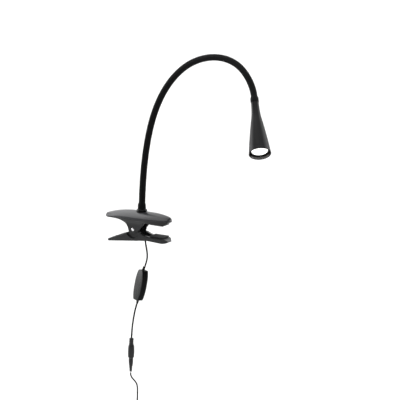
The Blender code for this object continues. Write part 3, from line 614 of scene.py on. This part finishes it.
def clip_body():
    """Body under the cover, lofted from handle to jaw, with two ears for the pin."""
    levels = 18
    edge_round = 1.0
    rings = []
    for x, low in body_underside():
        high = cover_edge(x) - COVER_RIM - GAP
        top_half = max(cover_half_width(x) - 0.5, 1.5)
        neck = min(NECK_HALF_WIDTH, top_half)
        side = []
        for k in range(levels + 1):
            share = (k / levels) ** 1.6
            z = low + (high - low) * share
            flare = min(max((z + 6.0) / (high + 6.0), 0.0), 1.0)
            up = min(z - low, edge_round)
            inset = edge_round - math.sqrt(edge_round**2 - (edge_round - up) ** 2)
            side.append((max(neck + (top_half - neck) * flare**body_flare(x) - inset, 0.3), z))
        rings.append([(x, y, z) for y, z in side] + [(x, -y, z) for y, z in reversed(side)])
    body = add_object("clip_body", grid_shape(rings), "body")
    ear_slot = block((-90, -EAR_INNER, -40), (-15, EAR_INNER, 1.0))
    cutters = [(ear_slot, ORIGIN), pin_hole(), (rod(STEM_BORE, -5, 40), FOOT)]
    for x in SCREWS.values():
        head_top = cover_edge(x) - COVER_RIM - SCREW_SINK + GAP
        profile = [(0, -20), (2.6, -20), (2.6, head_top), (1.5, head_top), (1.5, 30), (0, 30)]
        cutters.append((turned_shape(profile, 32), at(x)))
    carve(body, cutters, crease=40)
    fit(body, "clip", "body", "upper_jaw_body")


def pin_hole():
    return rod(PIN_RADIUS + GAP, -30, 30), ALONG_PIN


def cover_screws():
    """Pan heads with a cross recess, seen from below in their wells."""
    for name, x in SCREWS.items():
        seat = cover_edge(x) - COVER_RIM - SCREW_SINK
        profile = [(0, seat - 1.8, 0), (2.2, seat - 1.8, 0.7), (2.2, seat, 0.1), (1.05, seat, 0.1),
                   (1.05, seat + 4.4, 0.4), (0, seat + 4.4, 0)]
        screw = turned(f"{name}_head", profile, "steel", at(x), sides=48)
        bits = [block((-a, -b, seat - 3), (a, b, seat - 0.9)) for a, b in ((1.3, 0.28), (0.28, 1.3))]
        carve(screw, [(bit, at(x)) for bit in bits])
        fit(screw, "clip", "steel", name)


# Outlines of the lever in (x, z) about the pivot; a third value is a corner's own reach.
LEVER_TOP = [
    (-53.5, -23.2, 0.6), (-36, -17.0), (-23, -12.7), (-12, -6.8), (-9, -3.5), (-7.8, 1.0), (-6.5, 4.0),
    (-3.5, 6.4), (1.0, 6.9), (5.0, 5.6), (9.0, 1.0), (15.0, -5.0), (22.0, -8.6), (31.0, -10.2),
    (63.0, -10.2), (68.0, -12.4), (70.5, -15.2, 1.0),
]


def lever_floor(x):
    return -20.9 + 0.125 * x


def clip_lever():
    """Lower handle and jaw in one channel-shaped lever."""
    bottom = [(70.5, -16.6, 0.8), (66.0, -18.4), (58.0, -18.8), (30.0, -17.4), (-20.0, lever_floor(-20)),
              (-52.6, lever_floor(-52.6), 1.0), (-53.5, lever_floor(-53.5) + 0.8, 0.5)]
    outline = softened(LEVER_TOP + bottom, 4.0, steps=4)
    layers = rounded_layers(-NECK_HALF_WIDTH, NECK_HALF_WIDTH, 0.7, steps=3)
    at_pivot = at(*PIVOT)
    lever = add_object("clip_lever", slab(outline, layers, up="Y"), "body", at_pivot)
    cutters = []
    for side in (1, -1):
        waist = softened([(0, 0, 0), (16.5, 0, 0.5), (16.5, 10, 0), (0, 10, 0)], 0)
        place = frame_along(PIVOT + Vector((0, side * LEVER_INNER, 0)), (0, side, 0), (1, 0, 0))
        cutters.append((turned_shape(waist, 72), place))
        tip = softened([(58, side * 30, 0), (58, side * 13.0), (64, side * 11.6), (68, side * 8.6),
                        (70.2, side * 5.0), (80, side * 5.0, 0), (80, side * 30, 0)], 2.5)
        cutters.append((slab(tip, [(0, -30), (0, 10)]), at_pivot))
    wide = NECK_HALF_WIDTH - LEVER_WALL
    inner = LEVER_INNER - LEVER_WALL
    rings = []
    for x, half in ((-51.0, wide), (-20.0, wide), (-18.0, inner), (32.5, inner)):
        low = lever_floor(x) + LEVER_WALL
        rings.append([(x, -half, low), (x, half, low), (x, half, 30), (x, -half, 30)])
    cord_slot = [(x + 20.5, y) for x, y in rectangle(11.5, 3.6, 0.8)]
    cutters += [(grid_shape(rings), at_pivot), (slab(cord_slot, [(0, -40), (0, -10)]), at_pivot)]
    cutters.append(pin_hole())
    carve(lever, cutters, crease=40)
    fit(lever, "lever", "body", "lower_lever")
    for number, x in enumerate((-33.5, -29.5, -25.5)):
        low = lever_floor(x) + LEVER_WALL - 0.2
        high = -15.6 + 0.33 * (x + 36)
        outline = softened([(x - 0.8, low, 0), (x + 0.8, low, 0), (x + 0.6, high), (x - 0.6, high)], 0.45)
        rib = slab(outline, [(0, -wide - 0.4), (0, wide + 0.4)], up="Y")
        fit(add_object(f"handle_rib_{number + 1}", rib, "body", at_pivot), "lever", "body")


def pivot_pin():
    """Polished pin with a domed head at each ear."""
    reach = NECK_HALF_WIDTH + GAP
    head = [(PIN_RADIUS, reach, 0), (2.8, reach, 0.1), (2.8, reach + 0.35, 0.3), (1.9, reach + 1.0, 0.6),
            (0, reach + 1.0, 0)]
    profile = [(r, -height, corner) for r, height, corner in reversed(head)] + head
    fit(turned("clip_pin", profile, "steel", ALONG_PIN, sides=64), "clip", "steel", "pivot_pin")


def torsion_spring():
    """Coil round the pin, with a leg up to the body and one down to the lever's floor."""
    wire, coil, turns, half = 0.7, 4.4, 4.6, 5.2
    steps = 220
    start = Vector((-15.0, -half, 12.3))
    finish = Vector((-22.0, half, lever_floor(-22.0) + LEVER_WALL + 1.2))
    loop = []
    for i in range(steps + 1):
        angle = math.radians(128) - i / steps * turns * 2 * math.pi
        loop.append(Vector((coil * math.cos(angle), half * (2 * i / steps - 1), coil * math.sin(angle))))
    legs = 14
    centres = [start.lerp(loop[0], i / legs) for i in range(legs)] + loop
    centres += [loop[-1].lerp(finish, i / legs) for i in range(1, legs + 1)]
    shape = swept_shape([PIVOT + spot for spot in centres], [wire] * len(centres), sides=14)
    spring = add_object("clip_spring", shape, "wire")
    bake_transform(spring)
    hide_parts("torsion_spring")


def jaw_pad(name, node, body, face, back, half_width):
    """Rubber pad with grip grooves across its working face."""
    half_length = extent(node).x / 2
    grooves = 9
    pitch = 2 * half_length / grooves
    depth = 0.55 * (1 if face > back else -1)
    outline = [(-half_length, back, 0.4), (half_length, back, 0.4)]
    for k in range(grooves):
        x = half_length - k * pitch
        outline += [(x, face, 0.5), (x - pitch + 0.9, face, 0.3)]
        if k < grooves - 1:
            outline += [(x - pitch + 0.6, face - depth, 0.2), (x - pitch + 0.3, face - depth, 0.2)]
    outline[-1] = (-half_length, face, 0.5)
    layers = rounded_layers(-half_width, half_width, 0.15, steps=2)
    pad = slab(softened(outline, 0.3, steps=2), layers, up="Y")
    fit(add_object(name, pad, "pad"), body, "pad", node)


def arm_foot():
    """Gloss collar on the cover and the tapered rubber boot above it."""
    foot = at(ARM_FOOT.x, ARM_FOOT.y)
    top = COLLAR_TOP
    collar = [(STEM_BORE, 15.4, 0), (9.4, 15.4, 0.5), (9.75, 16.2, 0.4), (9.75, 20.6, 1.4),
              (9.35, 22.9, 1.2), (8.1, 24.3, 0.9), (6.95, top, 0.25), (STEM_BORE, top, 0)]
    collar = turned("foot_collar", collar, "collar", foot, steps=8, sides=128)
    fit(collar, "clip", "collar", "base_collar")
    low = top + GAP
    high = top + 10.0
    boot = [(6.1, low, 0), (7.3, low, 0.3), (7.3, low + 6.0, 2.0), (6.8, high - 0.6, 0.6),
            (6.35, high, 0.15), (6.1, high, 0)]
    fit(turned("foot_boot", boot, "arm", foot, steps=6), "clip", "arm", "arm_base_boot")


def base_outlet():
    """Strain relief inside the clip, where the cord starts."""
    groove = [(2.2, -10.6, 0.1), (1.95, -10.2, 0.1), (1.95, -9.7, 0.1), (2.25, -9.3, 0.1)]
    gland = [(1.5, -12.1, 0), (2.15, -12.1, 0.2)] + repeated(groove, 4, 1.9, 0.1)
    gland += [(2.6, -2.4, 0.2), (2.6, 0.7, 0.3), (1.5, 0.7, 0)]
    gland = turned("lead_gland", gland, "cord", at(centre("cord_gland").x), sides=48)
    return fit(gland, "clip", "cord_rubber", "cord_gland")


# ---- arm

def arm_line():
    """The arm's centre line, its length, the run up to the first joint and from each joint to the next."""
    stops = [ARM_FOOT] + [Vector(one["pos_m"]) / MM for one in ARM_JOINTS]
    place, length = smooth_curve(stops, start=(0.03, 0, 1), end=-HEAD_AXIS)
    boot = (stops[1] - stops[0]).length
    step = (length - boot) / (len(ARM_JOINTS) - 1)
    return place, length, boot, step


def gooseneck():
    """Ribbed rubber tube in one piece round each joint."""
    place, length, boot, step = arm_line()
    rings_per_step = 24
    rows_per_ring = 4
    groove = 0.16
    count = len(ARM_JOINTS)
    for number, one in enumerate(ARM_JOINTS):
        first = boot + (number - 0.5) * step if number else 2.0
        last = boot + (number + 0.5) * step if number < count - 1 else length + 4.0
        rows = round((last - first) / step * rings_per_step * rows_per_ring)
        centres, radii = [], []
        for i in range(rows + 1):
            run = first + (last - first) * i / rows
            over = max(run - length, 0.0)
            centres.append(place(min(run / length, 1.0)) - HEAD_AXIS * over)
            wave = 0.5 - 0.5 * math.cos(2 * math.pi * run / step * rings_per_step)
            radii.append(ARM_RADIUS - groove * wave)
        name = f"gooseneck_skin_{number + 1:02d}"
        skin = add_object(name, swept_shape(centres, radii, sides=32), "arm", crease=80)
        start = place(max(first, boot - 0.4) / length)
        end = place(min(last, length) / length)
        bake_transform(skin)
        if number < count - 1:
            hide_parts(f"arm_link_{number + 1:02d}")


# ---- head

SHADE_PROFILE = [
    (0, 20), (20, 17.6), (45, 14.1), (62, 11.4), (70, 9.9), (78, 8.6), (87, 7.8), (96, 7.2), (106, 7.0),
]


def shade():
    """Trumpet-shaped shell with a rolled lip; its inner wall is glossier than the outside, and its lighter
    brown colour is a painted reflection of the lens light.
    """
    outer = softened([(r, h) for h, r in SHADE_PROFILE], 30.0, steps=6, closed=False)
    outer = [(r, h) for r, h in outer if h > 0.5]
    lip = [(18.8, 0.25), (19.0, 0.06), (19.35, 0.0), (19.75, 0.08), (19.95, 0.35)]
    inner = [(r - 1.6, h) for r, h in outer if 1.5 < h < 88.0]
    closing = [(7.0, SHADE_LENGTH), (2.2, SHADE_LENGTH), (2.2, 93.0), (4.6, 90.0)]
    profile = lip + outer[:-1] + closing + inner[::-1]
    shell = add_object("shade_shell", turned_shape(profile, 160), "shade", HEAD)
    # The inner faces get the lighter brown finish, a painted reflection of the lens light.
    shell.data.materials.append(LOOKS["shade_inside_painted_reflection"])
    inner_top = 89.0 * MM
    for face in shell.data.polygons:
        radius = math.hypot(face.center.x, face.center.y)
        wall = np.interp(face.center.z / MM, [h for h, _ in SHADE_PROFILE], [r for _, r in SHADE_PROFILE])
        if face.center.z < inner_top and radius / MM < wall - 0.9:
            face.material_index = 1
    fit(shell, "head", "shade", "shade")


def head_fittings():
    """Bezel, lens and the sleeve that joins the shade to the arm."""
    bezel = [(14.7, 5.5, 0.2), (15.2, 5.2, 0.3), (16.9, 5.2, 0.4), (17.0, 6.6, 0.3), (16.9, 9.6, 0.2),
             (14.7, 9.6, 0.2)]
    fit(turned("lens_bezel", bezel, "collar", HEAD, sides=128), "head", "collar", "bezel_ring")
    lens = [(0, 6.15, 0)]
    prisms = 9
    for k in range(1, prisms):
        radius = 14.2 * k / prisms
        lens += [(radius - 0.3, 6.2, 0.1), (radius, 6.42, 0.08), (radius + 0.05, 6.2, 0.05)]
    lens += [(14.4, 6.4, 0.2), (14.4, 8.4, 0.1), (0, 8.4, 0)]
    fit(turned("lens_disc", lens, "lens", HEAD, steps=2), "head", "lens", "lens")
    back = SHADE_LENGTH + GAP
    sleeve = [(2.2, back, 0), (7.0, back, 0.3), (7.4, back + 1.2, 0.5), (7.4, back + 9.2, 0.8),
              (6.75, back + 11.0, 0.4), (6.3, back + 11.2, 0.15), (6.1, back + 6.0, 0),
              (2.2, back + 6.0, 0)]
    fit(turned("neck_sleeve", sleeve, "arm", HEAD), "head", "arm", "arm_end_sleeve")


# ---- lead, switch and plug

def add_cord(name, points, diameter, spacing=1.5):
    """A cord as a curve on a smooth line through its points."""
    place, length = smooth_curve(points)
    count = max(20, round(length / spacing))
    curve = bpy.data.curves.new(name, "CURVE")
    curve.dimensions = "3D"
    curve.bevel_depth = diameter / 2 * MM
    curve.bevel_resolution = 5
    curve.use_fill_caps = True
    spline = curve.splines.new("POLY")
    spline.points.add(count)
    for i in range(count + 1):
        spline.points[i].co = (*(place(i / count) * MM), 1.0)
    spline.use_smooth = True
    curve.materials.append(LOOKS["cord"])
    return linked(bpy.data.objects.new(name, curve))


def switch_frame():
    """Local Z up the switch, local Y outwards through the button."""
    top, bottom = centre("switch_relief_top"), centre("switch_relief_bottom")
    outward = -Vector(joint("switch_button_press")["axis"])
    place = frame_along(centre("switch_contact"), top - bottom, outward)
    return place, (top - bottom).length / 2 - 3.4


SWITCH_HALF_WIDTH = 10.0
SWITCH_HALF_THICKNESS = 6.6
SWITCH_WALL = 1.6


def switch_outline(half_width, half_length):
    """Bulged outline of the broad face with rounded ends."""
    count = 24
    right = []
    for i in range(count + 1):
        u = -1 + 2 * i / count
        right.append((half_width * (1 - 0.42 * abs(u) ** 2.6), u * half_length, 0))
    right[0] = (right[0][0], right[0][1], 2.2)
    right[-1] = (right[-1][0], right[-1][1], 2.2)
    whole = right + [(-x, z, reach) for x, z, reach in reversed(right)]
    return softened(whole, 0, steps=6)


def switch():
    """Two shells, a rocking button and the reliefs at both ends."""
    place, half_length = switch_frame()
    outline = switch_outline(SWITCH_HALF_WIDTH, half_length)
    room = switch_outline(SWITCH_HALF_WIDTH - SWITCH_WALL, half_length - SWITCH_WALL)
    thick = SWITCH_HALF_THICKNESS
    made = []
    for name, side in (("switch_front", -1), ("switch_back", 1)):
        layers = [(0.28, 0.12), (0.22, 0.3), (0.0, 0.45), (0.0, thick - 1.1), (0.1, thick - 0.62),
                  (0.36, thick - 0.26), (0.75, thick - 0.08), (1.3, thick)]
        shell = slab(outline, [(inset, side * level) for inset, level in layers], up="Y")
        piece = add_object(name, shell, "switch", place)
        inside = slab(room, [(0, -side), (0, side * (thick - SWITCH_WALL))], up="Y")
        cutters = [(inside, place), (rod(CORD / 2 + 0.15, -40, 40), place)]
        if side > 0:
            cutters.append((slab(rectangle(4.3, 7.3, 1.6), [(0, 3.6), (0, 9)], up="Y"), place))
        carve(piece, cutters, crease=30)
        piece.data.materials.append(LOOKS["switch_face"])
        for face in piece.data.polygons:
            if face.normal.y * side > 0.5:
                face.material_index = 1
        made.append(fit(piece, "clip", "switch_case", f"{name}_shell"))
    layers = [(0.3, 3.8), (0.0, 4.2), (0.0, 7.2), (0.25, 7.75), (0.8, 8.0)]
    button = add_object("switch_key", slab(rectangle(4.0, 7.0, 1.4), layers, up="Y"), "socket", place)
    grooves = [place @ frame_along((0, 8.35, k * 1.9), (1, 0, 0)) for k in (-2, -1, 0, 1, 2)]
    carve(button, [(rod(0.6, -3, 3, 24), groove) for groove in grooves], crease=30)
    made.append(fit(button, "button", "switch_case", "switch_button"))
    for name, turn in (("relief_top", 0), ("relief_bottom", math.pi)):
        low = half_length + GAP
        groove = [(2.5, low + 1.3, 0.15), (2.1, low + 1.7, 0.15), (2.1, low + 2.1, 0.15),
                  (2.4, low + 2.5, 0.15)]
        profile = [(1.5, low, 0), (2.6, low, 0.3)] + repeated(groove, 3, 1.5, -0.18)
        profile += [(1.9, low + 6.2, 0.3), (1.5, low + 6.2, 0)]
        end = place @ Matrix.Rotation(turn, 4, "X")
        relief = turned(f"switch_{name}_sleeve", profile, "cord", end, sides=48)
        made.append(fit(relief, "clip", "cord_rubber", f"switch_{name}"))
    return made


def plug_frame():
    """Local Z up the plug's axis; the origin is the top of the socket's relief."""
    axis = -Vector(joint("plug_pull")["axis"])
    middle = centre("socket_pin")  # the pin runs from 12.8 to 34 below the top
    return frame_along(middle + axis * 23.4, axis, (1, 0, 0))


def connector():
    """Socket on the lamp's cord, with its relief, and the adapter's plug pushed into it."""
    place = plug_frame()
    groove = [(4.0, -9.2, 0.2), (3.7, -8.9, 0.15), (3.7, -8.1, 0.15), (4.0, -7.8, 0.2)]
    relief = [(1.5, -12.0, 0), (4.0, -12.0, 0.2)] + repeated(groove, 2, 4.0)
    relief += [(4.0, -1.4, 0.7), (3.2, -0.1, 0.5), (1.5, -0.1, 0)]
    relief = turned("socket_sleeve", relief, "socket", place, sides=64)
    housing = [(3.3, -36.0, 0.1), (4.9, -36.0, 0.3), (5.35, -35.2, 0.4), (5.75, -29.0, 3.0),
               (5.75, -21.0, 3.0), (5.4, -15.0, 1.5), (4.6, -12.4, 0.5), (1.6, -12.4, 0), (1.6, -16.0, 0),
               (3.3, -16.0, 0)]
    housing = turned("socket_barrel", housing, "socket", place, sides=80, steps=6)
    groove = [(2.45, -60.8, 0.15), (2.1, -60.45, 0.12), (2.1, -59.95, 0.12), (2.5, -59.6, 0.15)]
    grip = [(1.3, -62.0, 0), (2.35, -62.0, 0.3)] + repeated(groove, 5, 1.9, 0.12)
    grip += [(3.3, -50.5, 1.0), (4.0, -45.5, 1.5), (4.1, -41.0, 1.0), (4.1, -38.0, 0.5), (3.8, -36.9, 0.3),
             (1.3, -36.9, 0)]
    grip = turned("plug_handle", grip, "socket", place, sides=64)
    socket = [fit(relief, "clip", "cord_rubber", "socket_relief"),
              fit(housing, "clip", "switch_case", "socket_housing")]
    return socket, fit(grip, "plug", "switch_case", "plug_grip")


def lamp_cord():
    """The lamp's own cord in one length from the clip through the switch to the socket."""
    place, half_length = switch_frame()
    inside = [place @ Vector((0, 0, half_length * share)) for share in (0.75, 0.25, -0.25, -0.75)]
    cord = add_cord("lamp_cord", LAMP_CORD_ROUTE_UPPER + inside + LAMP_CORD_ROUTE_LOWER, CORD)
    fit(cord, "clip", "cord_rubber", "cord_upper", "cord_lower")


HANK_LAYERS = 6
HANK_RADII = (10.0, 7.5)
HANK = centre("adapter_cord_hank")
HANK_HALF = extent("adapter_cord_hank").z / 2
HANK_FRONT = HANK.y - extent("adapter_cord_hank").y / 2 + ADAPTER_CORD / 2
HANK_STRAIGHT = HANK_HALF - ADAPTER_CORD / 2 - HANK_RADII[0]  # half of a turn's straight side


def hank_points():
    """Route of the tied hank: outwards through the layers on the wide turns and back on the narrow ones."""
    per_turn = 28
    points = []
    for way, radius in enumerate(HANK_RADII):
        for i in range(HANK_LAYERS * per_turn + 1):
            turn = i / per_turn
            passed = min(turn, HANK_LAYERS - 1)
            layer = HANK_LAYERS - passed if way else 1 + passed
            points.append(hank_place(radius, turn, layer))
    return points


def hank_place(radius, turn, layer):
    """A place on one racetrack turn, whose second half is the first turned about its middle."""
    arc = math.pi * radius
    half_lap = 2 * HANK_STRAIGHT + arc
    run = (turn % 1.0) * 2 * half_lap
    side = 1 if run < half_lap else -1
    run %= half_lap
    if run < HANK_STRAIGHT:
        x, z = radius, -run
    elif run < HANK_STRAIGHT + arc:
        angle = (run - HANK_STRAIGHT) / radius
        x, z = radius * math.cos(angle), -HANK_STRAIGHT - radius * math.sin(angle)
    else:
        x, z = -radius, run - half_lap
    x, z = side * x, side * z
    pinch = 1 - 0.07 * math.exp(-((z / 6.0) ** 2))
    y = HANK_FRONT + ADAPTER_CORD * layer - HANK.y
    return HANK + Vector((x * pinch, y * pinch, z))


def adapter_lead():
    """The adapter's cord: from the plug down into its hank, out below it and into the adapter."""
    line = Vector(ADAPTER_CORD_ROUTE[-1])
    top, bottom = HANK.z + HANK_HALF, HANK.z - HANK_HALF
    way_in = [(line.x + 1.5, HANK_FRONT, top - 8), (line.x + 6.0, HANK_FRONT + 0.6, top - 16)]
    cord_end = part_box("adapter_case")[1].z / MM - 10.0
    way_out = [
        (line.x + 6.5, HANK_FRONT + 0.5, bottom + 16), (line.x + 2.0, HANK_FRONT, bottom + 7),
        (line.x + 0.3, line.y, bottom - 4), (line.x, line.y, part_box("adapter_relief")[1].z / MM),
        (line.x, line.y, cord_end),
    ]
    route = ADAPTER_CORD_ROUTE[:-1] + way_in + hank_points()[3:-3] + way_out
    cord = add_cord("adapter_lead", route, ADAPTER_CORD, spacing=1.2)
    return fit(cord, "plug", "cord_rubber", "adapter_cord", "adapter_cord_hank", "adapter_cord_tail")


def cord_tie():
    """Woven strap round the waist of the hank."""
    middle = centre("cord_tie")
    size = extent("cord_tie")
    half_x, half_y, half_z = size.x / 2 - 0.2, size.y / 2 - 0.2, size.z / 2
    path = rectangle(half_x, half_y, 6.0, steps=8)
    inside = shrunk(path, 1.3)
    section = [(0.25, -half_z), (0.0, -half_z + 0.3), (0.0, half_z - 0.3), (0.25, half_z)]
    rings = []
    for (x, y), (inner_x, inner_y) in zip(path + path[:1], list(inside) + [inside[0]]):
        outer = [(x + (inner_x - x) * share, y + (inner_y - y) * share, z) for share, z in section]
        rings.append(outer + [(inner_x, inner_y, half_z), (inner_x, inner_y, -half_z)])
    strap = add_object("hank_strap", grid_shape(rings, caps=False), "tie", at(*middle))
    return fit(strap, "plug", "tie", "cord_tie")


def adapter():
    """Plug-in mains adapter: rounded case, a face plate with a parting line, and two round pins."""
    top = centre("adapter_relief")
    top.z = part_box("adapter_relief")[0].z / MM - GAP
    size = extent("adapter_case")
    place = at(top.x, 0, top.z - size.z / 2)
    back, seam = (corner.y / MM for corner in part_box("adapter_case"))
    outline = rectangle(size.x / 2, size.z / 2, 6.0, steps=10)
    layers = [(inset, back + level) for inset, level in rounded_layers(0, 12, 3.0, steps=6)[:7]]
    case = slab(outline, layers + [(0.0, seam - 0.5), (0.4, seam)], up="Y")
    case = add_object("adapter_shell", case, "adapter", place)
    room = slab(rectangle(size.x / 2 - 2, size.z / 2 - 2, 4.5), [(0, back + 2), (0, seam + 6)], up="Y")
    carve(case, [(room, place)])
    made = [fit(case, "plug", "adapter", "adapter_case")]
    size = extent("adapter_face")
    low, high = (corner.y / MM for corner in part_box("adapter_face"))
    face = slab(rectangle(size.x / 2, size.z / 2, 4.2, steps=10),
                [(0, low), (0, high - 0.5), (0.15, high - 0.15), (0.5, high)], up="Y")
    face = add_object("adapter_front", face, "adapter", place)
    pins = {}
    for node in ("adapter_pin_left", "adapter_pin_right"):
        pins[node] = frame_along((centre(node).x, 0, centre(node).z), (0, 1, 0), (1, 0, 0))
    carve(face, [(rod(2.2, low - 5, high + 5, 40), pin) for pin in pins.values()])
    made.append(fit(face, "plug", "adapter", "adapter_face"))
    for node, pin in pins.items():
        root, tip = (corner.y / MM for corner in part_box(node))
        bare = [(0, root, 0), (1.9, root, 0.2), (1.9, tip - 1.7, 0.4), (1.35, tip, 0.5), (0, tip, 0)]
        made.append(fit(turned(f"{node}_rod", bare, "steel", pin, sides=40), "plug", "steel", node))
        coat = [(1.92, high, 0), (2.0, high, 0.05), (2.0, high + 9.5, 0.1), (1.92, high + 9.5, 0)]
        made.append(fit(turned(f"{node}_sleeve", coat, "adapter", pin, sides=40), "plug", "adapter"))
    relief = [(1.3, 0.3, 0), (3.5, 0.3, 0.3), (3.5, 2.2, 0.4)]
    for k in range(3):
        relief += [(3.2 - 0.35 * k, 3.2 + 2.1 * k, 0.2), (2.7 - 0.3 * k, 3.6 + 2.1 * k, 0.15),
                   (2.7 - 0.3 * k, 4.2 + 2.1 * k, 0.15), (3.05 - 0.35 * k, 4.6 + 2.1 * k, 0.2)]
    relief += [(2.1, 9.9, 0.3), (1.3, 9.9, 0)]
    outlet = turned("adapter_outlet", relief, "cord", at(*top), sides=64)
    return made + [fit(outlet, "plug", "cord_rubber", "adapter_relief")]


# ---- inner CAD pieces, stage, light and camera

INNER_LOOKS = {
    "arm_base_fitting": "steel", "arm_lock_nut": "steel", "base_lead": "cord", "head_lead": "cord",
    "reflector": "reflector", "led_board": "board", "led_chip": "phosphor", "heat_sink": "aluminium",
    "switch_contact": "steel", "socket_pin": "steel", "plug_barrel": "steel",
}


def dress_inner_nodes():
    """The pieces inside keep their CAD shape and get a finished material."""
    for node, look in INNER_LOOKS.items():
        thing = frame["nodes"][node]
        thing.data.materials.clear()
        thing.data.materials.append(LOOKS[look])


def floor():
    reach = 40000
    level = CAD_BOX[0][2] / MM - 15.0
    shape = bmesh.new()
    corners = [(-reach, -reach), (reach, -reach), (reach, reach), (-reach, reach)]
    shape.faces.new([shape.verts.new((x, y, level)) for x, y in corners])
    add_object("studio_floor", shape, "floor")


CAMERA_AZIMUTH = math.radians(33.0)
CAMERA_ELEVATION = math.radians(13.6)
CAMERA_DISTANCE = 20000.0
CAMERA_TARGET = Vector((52.0, 53.3, 41.4))
VIEW_WIDTH = 714.286  # width of the picture at the target


def camera():
    flat, rise = math.cos(CAMERA_ELEVATION), math.sin(CAMERA_ELEVATION)
    back = Vector((math.sin(CAMERA_AZIMUTH) * flat, -math.cos(CAMERA_AZIMUTH) * flat, rise))
    data = bpy.data.cameras.new("camera")
    data.sensor_width = 36.0
    data.lens = 36.0 * CAMERA_DISTANCE / VIEW_WIDTH
    data.clip_start, data.clip_end = 0.1, 200.0
    thing = bpy.data.objects.new("camera", data)
    thing.location = (CAMERA_TARGET + back * CAMERA_DISTANCE) * MM
    thing.rotation_euler = (-back).to_track_quat("-Z", "Y").to_euler()
    bpy.context.scene.camera = linked(thing)


def studio_light():
    """A white room: brightest overhead and behind, darker on the near side."""
    world = bpy.data.worlds.new("studio")
    bpy.context.scene.world = world
    world.use_nodes = True
    nodes, links = world.node_tree.nodes, world.node_tree.links
    where = nodes.new("ShaderNodeTexCoord")

    def facing(direction, start, end, low, high):
        dot = nodes.new("ShaderNodeVectorMath")
        dot.operation = "DOT_PRODUCT"
        dot.inputs[1].default_value = Vector(direction).normalized()
        links.new(where.outputs["Generated"], dot.inputs[0])
        ramp = nodes.new("ShaderNodeMapRange")
        ramp.interpolation_type = "SMOOTHSTEP"
        preset(ramp, {"From Min": start, "From Max": end, "To Min": low, "To Max": high})
        links.new(dot.outputs["Value"], ramp.inputs["Value"])
        return ramp.outputs["Result"]

    away = Vector((-math.sin(CAMERA_AZIMUTH), math.cos(CAMERA_AZIMUTH), 0.0))
    right = Vector((math.cos(CAMERA_AZIMUTH), math.sin(CAMERA_AZIMUTH), 0.0))
    total = facing(away + UP * 0.1, 0.0, 0.95, 0.08, 0.55)
    left_box = facing(away * 0.35 + UP * 0.1 - right, 0.84, 0.97, 0.0, 6.0)
    right_box = facing(away * 0.6 + UP * 0.6 + right, 0.84, 0.97, 0.0, 3.6)
    top_box = facing(UP - away * 0.1, 0.7, 0.97, 0.0, 2.6)
    low_band = facing(away + UP * 0.3, 0.86, 0.99, 0.0, 1.3)
    for more in (left_box, right_box, top_box, low_band):
        add = nodes.new("ShaderNodeMath")
        add.operation = "ADD"
        links.new(total, add.inputs[0])
        links.new(more, add.inputs[1])
        total = add.outputs["Value"]
    links.new(total, nodes["Background"].inputs["Strength"])
    preset(nodes["Background"], {"Color": (1.0, 1.0, 1.0, 1.0)})

    sun = bpy.data.lights.new("key", "SUN")
    sun.energy = 1.3
    sun.angle = math.radians(45)
    thing = bpy.data.objects.new("key", sun)
    thing.rotation_euler = (away * 0.6 - right * 0.5 + UP * 0.9).to_track_quat("Z", "Y").to_euler()
    linked(thing)


# ---- assembly

def build():
    cover_plate()
    clip_body()
    cover_screws()
    clip_lever()
    pivot_pin()
    torsion_spring()
    jaw_pad("upper_grip_pad", "upper_jaw_pad", "clip", 0.0, 2.4, 11.0)
    jaw_pad("lower_grip_pad", "lower_jaw_pad", "lever", -20.0, -22.4, 10.0)
    arm_foot()
    gland = base_outlet()
    gooseneck()
    shade()
    head_fittings()
    switch_parts = switch()
    socket_parts, plug_handle = connector()
    lamp_cord()
    lead = adapter_lead()
    strap = cord_tie()
    adapter_parts = adapter()
    dress_inner_nodes()
    floor()
    studio_light()
    camera()
    bpy.context.scene.view_settings.view_transform = "Standard"


build()
